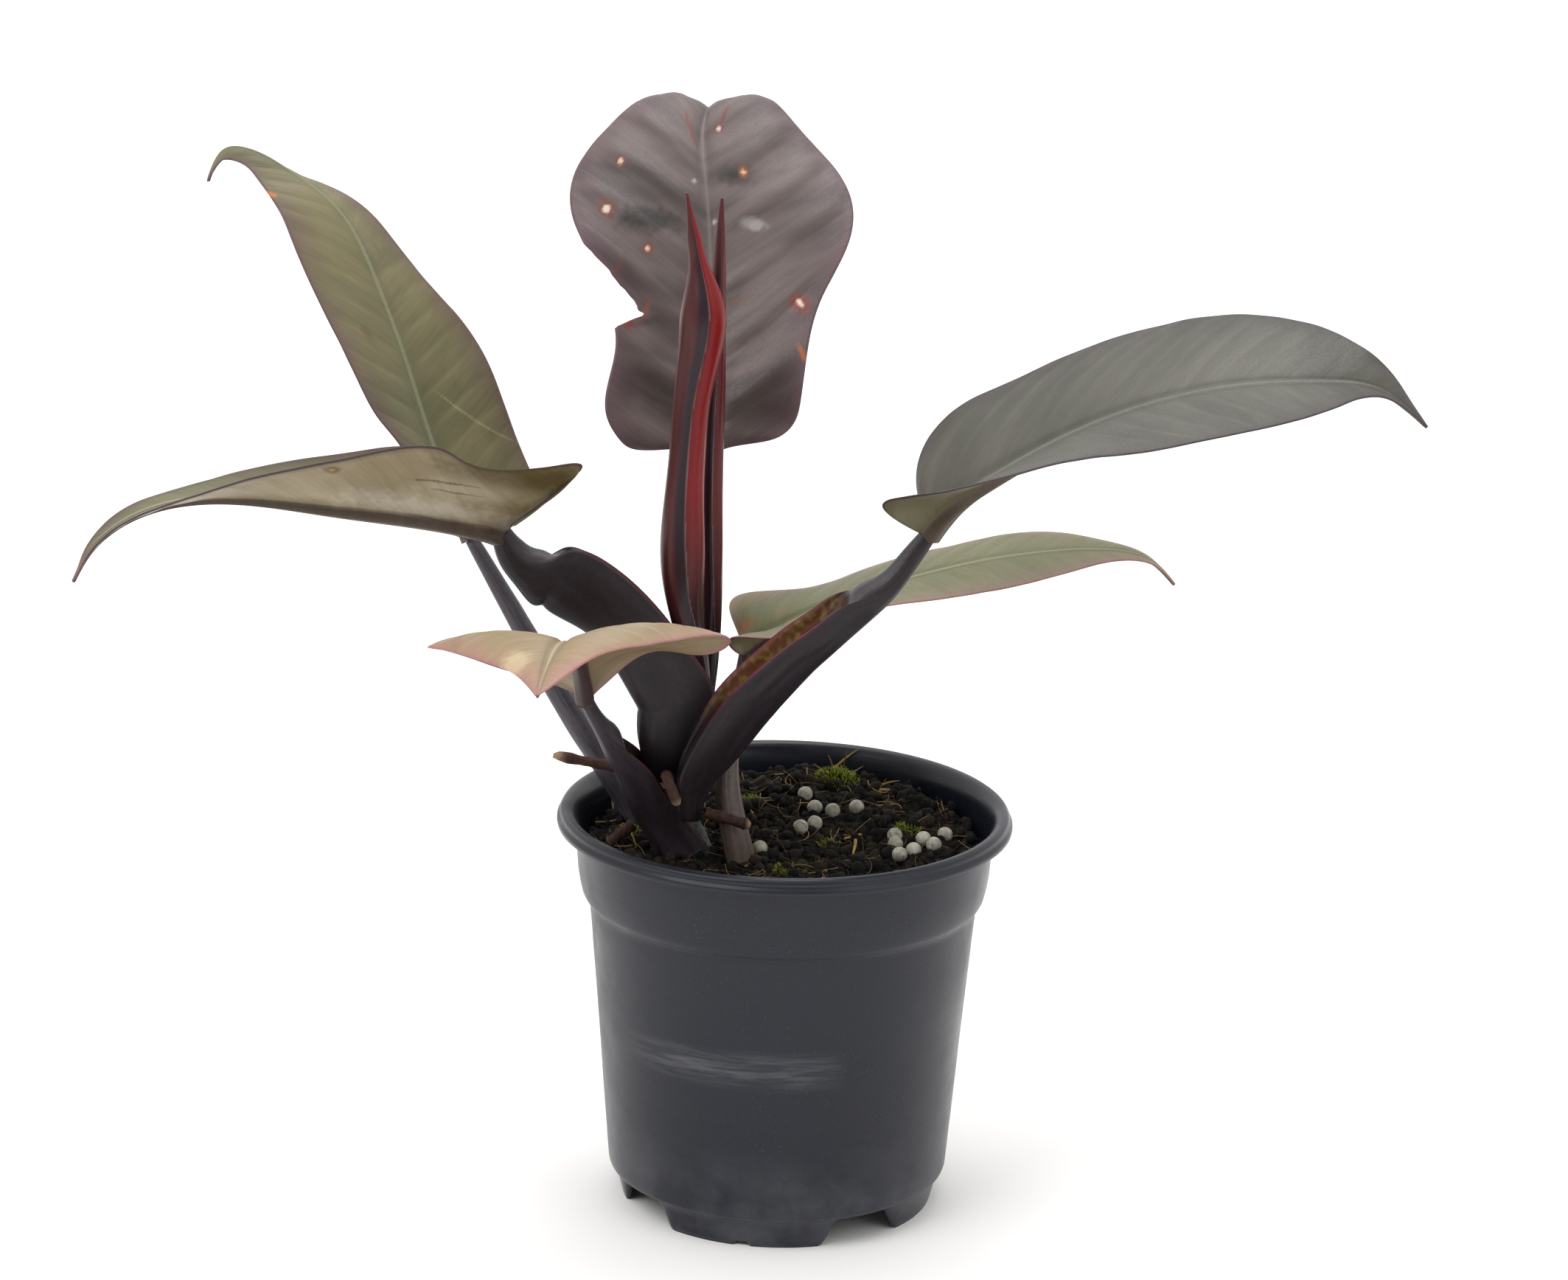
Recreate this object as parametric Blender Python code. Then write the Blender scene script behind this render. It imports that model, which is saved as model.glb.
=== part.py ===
"""A potted philodendron: a nursery pot, its potting mix, a short stem with six leaves and two rolled
new leaves, aerial roots, and the fertiliser prills and litter lying on the mix.

Lengths are in millimetres and angles in degrees. Everything is modelled from the pot's axis at the level of
its feet, and then moved, so that the origin is under the middle of the whole object. +Z is up and -Y is the
front. The plant is placed from the datum of the mix, so it follows the pot's height.
"""

import math

import bmesh
import bpy
import numpy as np
from mathutils import Matrix

MM = 0.001
POT_PLACE = (12.2, -4.2)  # the pot's axis from the origin, since the leaves reach further left and back

# Pot
POT_HEIGHT = 107.6
RIM_RADIUS = 60.0
RIM_OVERHANG = 5.0        # how far the rim stands out from the band under it
BAND_DROP = 23.8          # from the rim's crest down to the crease under the band
BAND_TAPER = 0.7
BAND_STEP = 3.3           # from the foot of the band in to the wall
WALL_TAPER = 6.0
POT_WALL = 1.1
SKIRT_HEIGHT = 8.0
SKIRT_STEP = 1.5          # from the wall in to the skirt that the feet are cut from
SKIRT_TAPER = 2.0
FLOOR_THICKNESS = 1.3
FLOOR_SINK = 0.4          # how far the floor's underside lies below the top of the skirt
# Rounded turns of the wall's section, each point as (radius, height) from the named radius and level there.
SHOULDER_TURN = ((-0.2, 0.3), (0.1, 1.2))
CREASE_TURN = ((0, -1.8), (1.1, 0))
BAND_TURN = ((-0.9, 2.4), (0, 7))
NECK_TURN = ((0, -5.6), (0.8, -4.6))
RIM_TURN = ((-0.6, -4.4), (0, -4.0), (0, -3.0), (-0.5, -1.0), (-1.6, 0), (-3.0, -0.15), (-4.1, -1.1))
RIM_INSIDE = -4.2         # where the wall's inner face starts, from the rim's crest
SHOULDER_INSET = 0.6
FOOT_COUNT = 4
FOOT_TURN = -12.0         # where the middle of the front foot points, from the front, to the right
FOOT_GAP_LOW = 17.4       # half angle of a gap between feet, at the ground
FOOT_GAP_HIGH = 8.5       # and under the floor
FOOT_NICK_WIDTH = 4.0
FOOT_NICK_HEIGHT = 1.1
NICK_TAPER = 0.7
DRAIN_HOLES = 8
DRAIN_RING = 30.0
DRAIN_RADIUS = 4.0
DRAIN_TURN = 16.65        # from the front to the first hole of the ring
DRAIN_SIDES = 16
POT_SEGMENTS = 64
SHARP_ANGLE = 40

BAND_TOP_RADIUS = RIM_RADIUS - RIM_OVERHANG
BAND_LOW_RADIUS = BAND_TOP_RADIUS - BAND_TAPER
WALL_TOP_RADIUS = BAND_LOW_RADIUS - BAND_STEP
WALL_LOW_RADIUS = WALL_TOP_RADIUS - WALL_TAPER
SKIRT_TOP_RADIUS = WALL_LOW_RADIUS - SKIRT_STEP
SKIRT_FOOT_RADIUS = SKIRT_TOP_RADIUS - SKIRT_TAPER

# Potting mix
MIX_BELOW_RIM = 11.6      # the datum: the mix's level at the pot's axis
MIX_TILT = 0.085          # rise towards the back, for each millimetre
MIX_BUMP = 0.6
MIX_WAVES = ((0.21, 0.9), (0.17, -0.4), (0.13, -0.19, 2.1))
FIT_GAP = 0.3             # clearance between pieces that touch
EDGE_GAP = 0.01           # least clearance where the mix's edge dips along the pot's wall
REST_GAP = 0.45           # clearance under a prill or a sliver, over the mix's facets
MIX_RINGS = 11

# Plant
BLADE_THICKNESS = 0.7
BLADE_ROWS = 24
BLADE_HALF_COLUMNS = 4
ROW_CROWDING = 1.15       # above 1, rows crowd towards the stalk
NARROWEST_HALF = 0.4
STALK_ROWS = 15
STALK_SIDES = 12
JOINT_GAP = 1.0           # between the end of a stalk and its blade
WING_EDGE = 1.0           # how much narrower a channel is inside than outside, on each side
MOST_HOLLOW = 0.85
POCKET_HOLLOW = -0.05
LEAF_SCALE = 1.0          # size of every blade about its joint with the stalk
PRILL_RADIUS = 2.05
ROOT_RADIUS = 1.5
ROOT_TAPER = ((0, 1), (0.8, 1), (0.95, 0.8), (1, 0.4))
MOSS_EDGE = 0.4
SLIVER_TAPER = (0.4, 0.9, 1.0, 1.0, 0.8, 0.3)

MIX_LEVEL = POT_HEIGHT - MIX_BELOW_RIM

# One entry a leaf. Stalk points are (x, y, height above the mix's datum), foot to joint. Its section is an
# ellipse, or a channel that opens towards the plant's middle: half width, depth and hollow at each share of
# the length; hollow runs from -1, a whole ellipse, to 1, a sheet. Blade points start from the joint. A blade
# row is (share of the midrib, half width, rise and sweep on the left, then on the right): rise lifts the
# half above the midrib's own level, and sweep turns it forward along the midrib.
LEAVES = {
    "back": {
        "heading": 95,
        "colour": (0.125, 0.105, 0.105),
        "stalk": ((-26, 15, 8), (-23.5, 17, 32), (-21, 18.5, 58), (-20.8, 20.5, 82), (-20.6, 22, 102.2)),
        "stalk_roll": 0,
        "section": ((0, 3.2, 3.0, -0.6), (0.3, 3.0, 2.8, -0.8), (0.7, 2.6, 2.5, -0.9), (1, 1.9, 1.8, -1)),
        "spine": ((0, 0, 0), (-0.6, 3, 9), (-1.4, 10, 23), (-2, 18, 37), (-3.2, 29, 53), (-5, 42, 66),
                  (-6, 54, 74), (-5, 68, 78.5), (-5.3, 86, 71.5)),
        "rows": ((0, 1.5, 5, 0, 1.5, 5, 0), (0.03, 19, 3, -10, 14, 19, -10),
                 (0.06, 25.5, 3, -10, 20, 18, -12),
                 (0.12, 29, 3, -9, 24, 18, -12),
                 (0.24, 25.8, 5, -6, 27, 19, -2), (0.38, 32.3, 8, 3, 34, 16, -5),
                 (0.5, 36.7, 4, 4, 38.5, 10, -8),
                 (0.62, 33.6, 0, 11, 36.6, 5, -4), (0.72, 24.5, 0, 18, 26.5, 3, 8),
                 (0.82, 14.5, 2, 30, 15.4, 3, 28),
                 (1, 0.5, 0, 30, 0.5, 0, 30)),
        "curl": (8, 10),
    },
    "upper_left": {
        "heading": 165,
        "colour": (0.2, 0.19, 0.1),
        "stalk": ((-35, 14, -6), (-43, 15.5, 9.5), (-50, 17, 20), (-61, 19.5, 36.5), (-70.3, 22, 51.7),
                  (-84.6, 25, 75.5)),
        "stalk_roll": 0,
        "section": ((0, 4, 3.8, -0.5), (0.4, 4, 3.8, -0.7), (0.6, 3.5, 3.4, -0.8), (0.8, 2.8, 2.7, -0.9),
                    (1, 1.9, 1.8, -1)),
        "spine": ((0, 0, 0), (-3.6, 1, 8), (-11, 4, 25), (-18.2, 8, 45.7), (-26.7, 12.5, 67),
                  (-37.3, 16.5, 85),
                  (-50, 19, 94.2), (-60.7, 20, 99.4), (-65.9, 20, 99.6), (-71.2, 20, 90.7)),
        "rows": ((0, 1.5, 0, 0, 1.5, 30, 0), (0.03, 9, -15, 10, 15, 44, -22),
                 (0.1, 14.8, -11, 28, 25, 40, -23),
                 (0.24, 18.5, -13, 14, 27.6, 32, -21), (0.45, 21.3, -22, 10, 24.6, 27, -22),
                 (0.63, 19.9, -26, 21, 17.5, 9, -28), (0.78, 11.5, -20, 40, 9.9, -3, -37),
                 (0.87, 4.2, -30, 36, 6, -18, -50), (1, 0.5, -20, 30, 0.5, -10, -30)),
        "curl": (-10, 15),
    },
    "lower_left": {
        "heading": 187,
        "colour": (0.21, 0.19, 0.11),
        "stalk": ((-28, -0.5, 19), (-22.5, -0.5, 31), (-21.2, -0.5, 45), (-32, -0.5, 60.5), (-45.5, -0.8, 74),
                  (-55, -1.5, 78), (-62, -3, 75.5), (-68.5, -4.8, 79), (-74.8, -6, 85.4)),
        "stalk_roll": 12,
        "section": ((0, 4.5, 10, 0.6), (0.07, 5.6, 14, 0.7), (0.13, 6.3, 17.5, 0.78),
                    (0.27, 6.6, 20, 0.82), (0.46, 6.6, 16.8, 0.82),
                    (0.65, 6.0, 17, 0.78), (0.76, 5, 13, 0.55), (0.83, 4.4, 7, -0.2), (0.91, 3.4, 4.2, -0.9),
                    (1, 2.2, 2.1, -1)),
        "spine": ((0, 0, 0), (-7.6, -0.5, 2), (-22.7, -1.5, 4.5), (-43.3, -3.5, 7), (-62.8, -6, 9.6),
                  (-82.2, -9, 9.1), (-96, -11.5, 4), (-105.3, -13.5, -5), (-108.4, -14, -11.3)),
        "rows": ((0, 1.5, 44, -30, 1.5, 39, -20), (0.03, 29, 48, -60, 16, 30, -26),
                 (0.08, 31, 47, -40, 23, 28, -8),
                 (0.2, 29.8, 50, -20, 25.5, 31, 2), (0.37, 24.5, 47, -7, 24, 22, -3),
                 (0.54, 18, 32, 4, 22.3, 6, -1),
                 (0.7, 12.2, 12, 13, 16, -3, 10), (0.83, 7.2, 2, 40, 9.4, 1, 32),
                 (1, 0.5, 0, 30, 0.5, 0, 30)),
        "curl": (20, 45),
    },
    "front": {
        "heading": 264,
        "colour": (0.27, 0.25, 0.14),
        "stalk": ((-15, -3, -9), (-21.5, -3.2, 3.8), (-31, -4, 16), (-36.8, -8, 26), (-46.5, -15, 35.8),
                  (-52, -20, 46)),
        "stalk_heading": 190,
        "stalk_roll": 0,
        "section": ((0, 7.5, 14.5, 0.8), (0.2, 6.9, 12.7, 0.78), (0.4, 6.2, 11, 0.78), (0.58, 5.4, 8.8, 0.65),
                    (0.72, 4.0, 5.8, 0.1), (0.82, 3.0, 3.1, -0.9), (1, 2.0, 1.9, -1)),
        "spine": ((0, 0, 0), (-0.7, -7, 8), (-1.6, -17, 16.4), (-3.2, -30, 23.5), (-5, -44, 26.6),
                  (-6.5, -62, 26.8), (-7.9, -80, 25)),
        "rows": ((0, 1.5, 30, 0, 1.5, 20, 0), (0.07, 12.5, 30, 6, 14, 6, 2), (0.19, 27, 13, -4, 27, 0, 1),
                 (0.35, 39.8, 7, -10, 36.5, -3, 1), (0.51, 34.4, 5, -14, 29.8, -7, -3),
                 (0.7, 20.5, 6, -11, 16.1, -10, -3),
                 (0.86, 9.5, 14, -12, 6.4, -10, -4), (1, 0.5, 10, -10, 0.5, -10, 0)),
        "curl": (-45, -45),
    },
    "right": {
        "heading": -8,
        "colour": (0.16, 0.165, 0.12),
        "stalk": ((-27, -14, 13), (-27, -14, 25), (-17.6, -14, 46.7), (-7.3, -14, 59), (1.5, -14, 66.2),
                  (10, -14, 71.6), (18.5, -13.7, 73.8), (27, -13, 79.5), (34.9, -12, 89.5)),
        "stalk_roll": 12,
        "section": ((0, 4.2, 5, 0.4), (0.12, 5.2, 9.8, 0.7), (0.34, 6.4, 14.5, 0.82), (0.49, 6.4, 14.6, 0.82),
                    (0.6, 6.4, 13, 0.8), (0.7, 5, 10, 0.6), (0.78, 4, 4.6, -0.6), (0.88, 3.2, 3.4, -1),
                    (1, 2.2, 2.1, -1)),
        "spine": ((0, 0, 0), (5.6, -0.5, 7.7), (16.5, -2, 16.7), (34.7, -5, 28.5), (54.6, -8, 37.7),
                  (76.4, -10, 43.5), (96.5, -12, 45.4), (111.2, -13, 44.1), (124, -13, 34.7)),
        "rows": ((0, 1.5, 30, 0, 1.5, 40, -20), (0.04, 16.6, 33, -4, 16.5, 44, -26),
                 (0.1, 29.9, 31, -2, 28.5, 27, -18),
                 (0.2, 37.2, 23, 0, 34.3, 9, -2), (0.35, 40, 18, 2, 36, 0, 3),
                 (0.52, 38.9, 18, 4, 35.3, -8, 0),
                 (0.68, 32, 21, -1, 28.4, -10, 2), (0.81, 20.3, 26, 0, 15.1, -10, 3),
                 (0.91, 8.2, 30, -15, 4.5, 0, 2),
                 (1, 0.5, 10, 0, 0.5, 0, 0)),
        "curl": (-12, 10),
    },
    "lower_right": {
        "heading": 15,
        "colour": (0.24, 0.23, 0.14),
        "stalk": ((-10.6, -12.5, -8), (-13.8, -12, 6), (-16, -6, 18), (-15.2, 2, 30), (-12.8, 9.5, 41),
                  (-11.3, 14, 49.2)),
        "stalk_roll": 0,
        "section": ((0, 4.3, 3.0, -0.2), (0.3, 4.0, 3.0, -0.4), (0.7, 2.8, 2.6, -0.8), (1, 1.9, 1.8, -1)),
        "spine": ((0, 0, 0), (7.3, 2, 4.9), (20.7, 6, 11.8), (39, 11, 17.3), (60.5, 16.5, 22),
                  (81.5, 21.5, 24.1),
                  (99.4, 25, 23.6), (107.6, 27, 20.8), (114.5, 28, 13.9)),
        "rows": ((0, 1.5, 20, 0, 1.5, 20, -40), (0.04, 16.2, 23, -7, 13, 34, -48),
                 (0.14, 20.6, 4, 4, 20.8, 12, -30),
                 (0.3, 23.9, -5, 10, 22.6, 5, -24), (0.48, 23.2, -4, 15, 21.1, -4, -20),
                 (0.66, 17, 3, 16, 16.7, -11, -16),
                 (0.8, 8.3, 6, 12, 8.2, -16, -14), (1, 0.5, 0, 0, 0.5, -10, 0)),
        "curl": (-10, 0),
    },
}

# Rolled new leaves and the stem: points as above, and (share of the length, half width) of a round section.
ROUND_STALKS = {
    "stem": (((-16, -3, -26), (-22.2, -3, -3), (-26.6, -3, 8), (-30.5, -2.5, 17)),
             ((0, 4.6), (0.55, 4.3), (0.85, 3.8), (1, 3.0)), (0.13, 0.14, 0.1)),
    "new_leaf_front": (((-25, 0, 28), (-23.5, 0, 46), (-26.5, 0, 63), (-27.8, 0, 77), (-27.9, 0, 90),
                        (-27.1, 0, 108), (-25.8, 0, 124), (-24.3, 0, 134), (-23.6, 0, 143), (-24.3, 0, 150.6),
                        (-25.4, 0, 157), (-26.5, 0, 163), (-28.6, 0, 174.5)),
                       ((0, 2.6), (0.12, 3.4), (0.24, 4.6), (0.335, 6.0), (0.42, 5.7), (0.545, 4.9),
                        (0.655, 5.2),
                        (0.725, 6.0), (0.785, 6.2), (0.835, 4.4), (0.88, 2.5), (0.92, 1.9), (0.955, 1.0),
                        (1, 0.35)),
                       (0.16, 0.03, 0.04)),
    "new_leaf_behind": (((-24, 10, 23), (-21, 10, 50), (-21, 10, 90), (-20.5, 10, 130), (-19.8, 10, 171.5)),
                        ((0, 2.8), (0.3, 3.1), (0.6, 3.0), (0.85, 1.9), (0.94, 1.1), (1, 0.35)),
                         (0.14, 0.07, 0.08)),
}
ROOTS = (
    ((-33, 4, 18), (-42, 4.5, 19.5), (-52, 5, 21), (-61.5, 5, 22.6)),
    ((-30.8, -10, 22), (-30.6, -17, 24), (-27.7, -20, 17.8)),
    ((-20.6, -17, 15), (-15.6, -17.4, 13.8), (-8.9, -17.7, 12)),
    ((-39.8, -2, 6.4), (-43, -2.5, 3.8), (-46.6, -3, 1.3)),
)

# Where the prills lie, as shares of the mix's radius: right of and behind the pot's axis.
PRILLS = ((0.1, 0.58), (0.15, 0.45), (0.24, 0.36), (0.36, 0.38), (0.08, 0.11), (0.15, 0.18), (0.55, 0.09),
          (0.55, -0.04), (0.57, -0.17), (0.64, -0.12), (0.69, 0.02), (0.74, -0.05), (0.8, 0.11),
          (-0.12, -0.13))
# Clumps of moss: centre as above, radius and height.
MOSS = ((0.63, 0.26, 4.0, 2.2), (0.22, 0.04, 3.0, 1.8), (-0.17, 0.52, 3.5, 1.6), (0.26, 0.82, 5.5, 4.5),
        (-0.78, 0.12, 3.5, 1.6), (0.02, -0.26, 5.0, 1.8))
# Slivers of bark and straw: two ends as above, and half width.
SLIVERS = (((0.48, 0.74), (0.64, 0.7), 1.0), ((0.0, -0.08), (0.22, -0.16), 0.6), ((0.36, 0.06),
           (0.33, -0.15), 0.6))


def smooth(shares, values, at):
    """A natural cubic spline through values given at shares, read at each share in at."""
    shares = np.asarray(shares, float)
    values = np.asarray(values, float).reshape(len(shares), -1)
    gaps = np.diff(shares)
    system = np.eye(len(shares))
    pull = np.zeros_like(values)
    for i in range(1, len(shares) - 1):
        system[i, i - 1:i + 2] = gaps[i - 1], 2 * (gaps[i - 1] + gaps[i]), gaps[i]
        pull[i] = 6 * ((values[i + 1] - values[i]) / gaps[i] - (values[i] - values[i - 1]) / gaps[i - 1])
    bend = np.linalg.solve(system, pull)
    k = np.clip(np.searchsorted(shares, at, side="right") - 1, 0, len(gaps) - 1)
    after = (np.asarray(at) - shares[k])[:, None]
    before = (shares[k + 1] - np.asarray(at))[:, None]
    gap = gaps[k][:, None]
    return (
        (bend[k] * before**3 + bend[k + 1] * after**3) / (6 * gap)
        + (values[k] / gap - bend[k] * gap / 6) * before
        + (values[k + 1] / gap - bend[k + 1] * gap / 6) * after
    )


def route(points, shares):
    """A smooth path through the points, read at shares of its chord length."""
    points = np.asarray(points, float)
    reach = np.concatenate(([0], np.cumsum(np.linalg.norm(np.diff(points, axis=0), axis=1))))
    return smooth(reach / reach[-1], points, shares)


def directions(path, heading, roll=0.0):
    """Along, left and up at each point of the path; left is level when roll is 0."""
    along = np.gradient(path, axis=0)
    along /= np.linalg.norm(along, axis=1)[:, None]
    turn = math.radians(heading)
    level = np.array((-math.sin(turn), math.cos(turn), 0.0))
    left = level - (along @ level)[:, None] * along
    left /= np.linalg.norm(left, axis=1)[:, None]
    up = np.cross(along, left)
    tilt = math.radians(roll)
    return along, math.cos(tilt) * left + math.sin(tilt) * up, math.cos(tilt) * up - math.sin(tilt) * left


def on_the_mix(points):
    """Points given from the mix's datum, in the pot's frame."""
    return np.asarray(points, float) + (0, 0, MIX_LEVEL)


def new_object(name, points, faces, colour, roughness, smoothed=True):
    mesh = bpy.data.meshes.new(name)
    mesh.from_pydata([tuple(point) for point in np.asarray(points) * MM], [], faces)
    shell = bmesh.new()
    shell.from_mesh(mesh)
    bmesh.ops.triangulate(shell, faces=shell.faces, quad_method="FIXED")
    bmesh.ops.recalc_face_normals(shell, faces=shell.faces)
    shell.to_mesh(mesh)
    shell.free()
    if smoothed:
        mesh.shade_smooth()
        mesh.set_sharp_from_angle(angle=math.radians(SHARP_ANGLE))
    mesh.materials.append(material(name, colour, roughness))
    piece = bpy.data.objects.new(name, mesh)
    bpy.context.collection.objects.link(piece)
    return piece


def material(name, colour, roughness):
    made = bpy.data.materials.new(name)
    made.use_nodes = True
    shader = made.node_tree.nodes["Principled BSDF"]
    shader.inputs["Base Color"].default_value = (*colour, 1)
    shader.inputs["Roughness"].default_value = roughness
    shader.inputs["Metallic"].default_value = 0
    return made


def strip_faces(rows, columns, closed):
    """Quads over a grid of points stored row by row; closed joins the last column to the first."""
    faces = []
    for row in range(rows - 1):
        for column in range(columns if closed else columns - 1):
            beside = (column + 1) % columns
            start, above = row * columns, (row + 1) * columns
            faces.append((start + column, start + beside, above + beside, above + column))
    return faces


def tube(path, left, up, half_width, depth, hollow, sides, grow=0.0):
    """Points and faces of a closed stalk. Its outer side bulges away from up by depth; its inner side
    follows it at hollow times that depth, so -1 makes a whole ellipse and 0.8 an open channel. grow
    widens it all round, for the pocket that it stands in."""
    turn = np.linspace(0, 2 * math.pi, sides, endpoint=False)
    inner = np.sin(turn)[None, :] < 0
    edge = WING_EDGE * np.clip(hollow, 0, 1)[:, None]
    across = np.cos(turn)[None, :] * (half_width[:, None] + grow - np.where(inner, edge, 0))
    bulge = np.sin(turn)[None, :] * depth[:, None]
    bulge = np.where(inner, -bulge * hollow[:, None], bulge) + np.sin(turn)[None, :] * grow
    points = path[:, None, :] + across[:, :, None] * left[:, None, :] - bulge[:, :, None] * up[:, None, :]
    rows = len(path)
    faces = strip_faces(rows, sides, True)
    faces.append(tuple(range(sides)))
    faces.append(tuple(range((rows - 1) * sides, rows * sides)))
    return points.reshape(-1, 3), faces


def stalk(name, leaf, grow=0.0):
    """A leaf stalk with its sheath. With grow, the pocket that it stands in: wider, with its channel filled."""
    shares = np.linspace(0, 1, STALK_ROWS)
    path = route(on_the_mix(leaf["stalk"]), shares)
    along, left, up = directions(path, leaf.get("stalk_heading", leaf["heading"]), leaf["stalk_roll"])
    section = np.array(leaf["section"], float)
    half_width, depth, hollow = smooth(section[:, 0], section[:, 1:], shares).T
    path[0] -= along[0] * grow
    path[-1] -= along[-1] * JOINT_GAP
    hollow = np.clip(hollow, -1, POCKET_HOLLOW if grow else MOST_HOLLOW)
    points, faces = tube(path, left, up, half_width, depth, hollow, STALK_SIDES, grow)
    return new_object(name, points, faces, (0.035, 0.027, 0.032), 0.35)


def blade(name, leaf):
    """A leaf blade: two half blades, each row an arc from the midrib to the margin, given its thickness
    by a Solidify modifier."""
    joint = on_the_mix(leaf["stalk"])[-1]
    shares = np.linspace(0, 1, BLADE_ROWS) ** ROW_CROWDING
    spine = route(np.asarray(leaf["spine"], float) * LEAF_SCALE + joint, shares)
    along, left, up = directions(spine, leaf["heading"])
    rows = np.array(leaf["rows"], float)
    read = smooth(rows[:, 0], rows[:, 1:], shares)
    steps = np.linspace(0, 1, BLADE_HALF_COLUMNS + 1)
    halves = []
    for side, columns, curl in ((1, read[:, :3], leaf["curl"][0]), (-1, read[:, 3:], leaf["curl"][1])):
        half = np.maximum(columns[:, 0], NARROWEST_HALF) * LEAF_SCALE
        rise, sweep = np.radians(columns[:, 1]), np.radians(columns[:, 2])
        arc = math.radians(curl)
        reach = steps * np.sinc(arc * steps / (2 * math.pi)) / np.sinc(arc / (2 * math.pi))
        angle = rise[:, None] + arc * (steps - 1)[None, :] / 2
        outward = np.cos(sweep)[:, None] * side * left + np.sin(sweep)[:, None] * along
        level = half[:, None] * reach[None, :] * np.cos(angle)
        lift = half[:, None] * reach[None, :] * np.sin(angle)
        halves.append(spine[:, None, :] + level[:, :, None] * outward[:, None, :] + lift[:, :, None] * up[:, None, :])
    grid = np.concatenate((halves[0][:, ::-1], halves[1][:, 1:]), axis=1)
    faces = strip_faces(BLADE_ROWS, grid.shape[1], False)
    piece = new_object(name, grid.reshape(-1, 3), faces, leaf["colour"], 0.45)
    thick = piece.modifiers.new("thickness", "SOLIDIFY")
    thick.thickness = BLADE_THICKNESS * MM
    thick.offset = 0
    return piece


def round_stalk(name, points, widths, colour, rows=STALK_ROWS, sides=10, grow=0.0):
    shares = np.linspace(0, 1, rows)
    path = route(on_the_mix(points), shares)
    widths = np.array(widths, float)
    half = smooth(widths[:, 0], widths[:, 1], shares)[:, 0]
    along, left, up = directions(path, 0 if abs(path[-1, 0] - path[0, 0]) > 15 else 90)
    path[0] -= along[0] * grow
    whole = np.full(rows, -1.0)
    return new_object(name, *tube(path, left, up, half, half, whole, sides, grow), colour, 0.45)


def pot_profile():
    """(radius, height) round the pot's wall, from the outer foot up over the rim and down the inside."""
    def turn(points, radius, level):
        return [(radius + out, level + up) for out, up in points]

    crease = POT_HEIGHT - BAND_DROP
    outer = [(SKIRT_FOOT_RADIUS, 0), (SKIRT_TOP_RADIUS, SKIRT_HEIGHT)]
    outer += turn(SHOULDER_TURN, WALL_LOW_RADIUS, SKIRT_HEIGHT)
    outer += turn(CREASE_TURN, WALL_TOP_RADIUS, crease)
    outer += turn(BAND_TURN, BAND_LOW_RADIUS, crease)
    outer += turn(NECK_TURN, BAND_TOP_RADIUS, POT_HEIGHT)
    rim = turn(RIM_TURN, RIM_RADIUS, POT_HEIGHT)
    rim.append((BAND_TOP_RADIUS - POT_WALL, POT_HEIGHT + RIM_INSIDE))
    inner = [(radius - POT_WALL, height) for radius, height in outer[7:3:-1]]
    floor = SKIRT_HEIGHT + FLOOR_THICKNESS - FLOOR_SINK
    inner.append((WALL_LOW_RADIUS - POT_WALL - SHOULDER_INSET, floor))
    return outer, rim, inner, floor


def inner_radius(height):
    """The pot's inside radius at a height between its floor and its rim."""
    _, rim, inner, _ = pot_profile()
    inside = sorted([rim[-1], *inner], key=lambda point: point[1])
    return float(np.interp(height, [point[1] for point in inside], [point[0] for point in inside]))


def turned(name, profile, colour, roughness):
    """A solid of revolution of a closed profile; points on the axis are merged."""
    shell = bmesh.new()
    ring = [shell.verts.new((radius * MM, 0, height * MM)) for radius, height in profile]
    edges = [shell.edges.new((ring[i], ring[i + 1])) for i in range(len(ring) - 1)]
    if profile[0][0] > 0:
        edges.append(shell.edges.new((ring[-1], ring[0])))
    bmesh.ops.spin(
        shell, geom=ring + edges, axis=(0, 0, 1), cent=(0, 0, 0), angle=2 * math.pi, steps=POT_SEGMENTS, use_merge=True
    )
    bmesh.ops.remove_doubles(shell, verts=shell.verts, dist=1e-6)
    bmesh.ops.recalc_face_normals(shell, faces=shell.faces)
    mesh = bpy.data.meshes.new(name)
    shell.to_mesh(mesh)
    shell.free()
    mesh.shade_smooth()
    mesh.set_sharp_from_angle(angle=math.radians(SHARP_ANGLE))
    mesh.materials.append(material(name, colour, roughness))
    piece = bpy.data.objects.new(name, mesh)
    bpy.context.collection.objects.link(piece)
    return piece


def cut(piece, cutter):
    cutter.hide_render = True
    cutter.display_type = "WIRE"
    hole = piece.modifiers.new(cutter.name, "BOOLEAN")
    hole.operation = "DIFFERENCE"
    hole.solver = "EXACT"
    hole.object = cutter


def wedge(name, turn, half_low, half_high, low, high):
    """A cutter through the skirt that points at turn from the front, with half widths in degrees."""
    near, far = SKIRT_FOOT_RADIUS - 8, RIM_RADIUS
    points = []
    for height, half in ((low, half_low), (high, half_high)):
        for radius, side in ((near, -1), (far, -1), (far, 1), (near, 1)):
            angle = math.radians(turn + side * half)
            points.append((radius * math.sin(angle), -radius * math.cos(angle), height))
    faces = [(0, 1, 2, 3), (4, 5, 6, 7), (0, 1, 5, 4), (1, 2, 6, 5), (2, 3, 7, 6), (3, 0, 4, 7)]
    return new_object(name, points, faces, (0.5, 0.5, 0.5), 0.5, smoothed=False)


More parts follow.
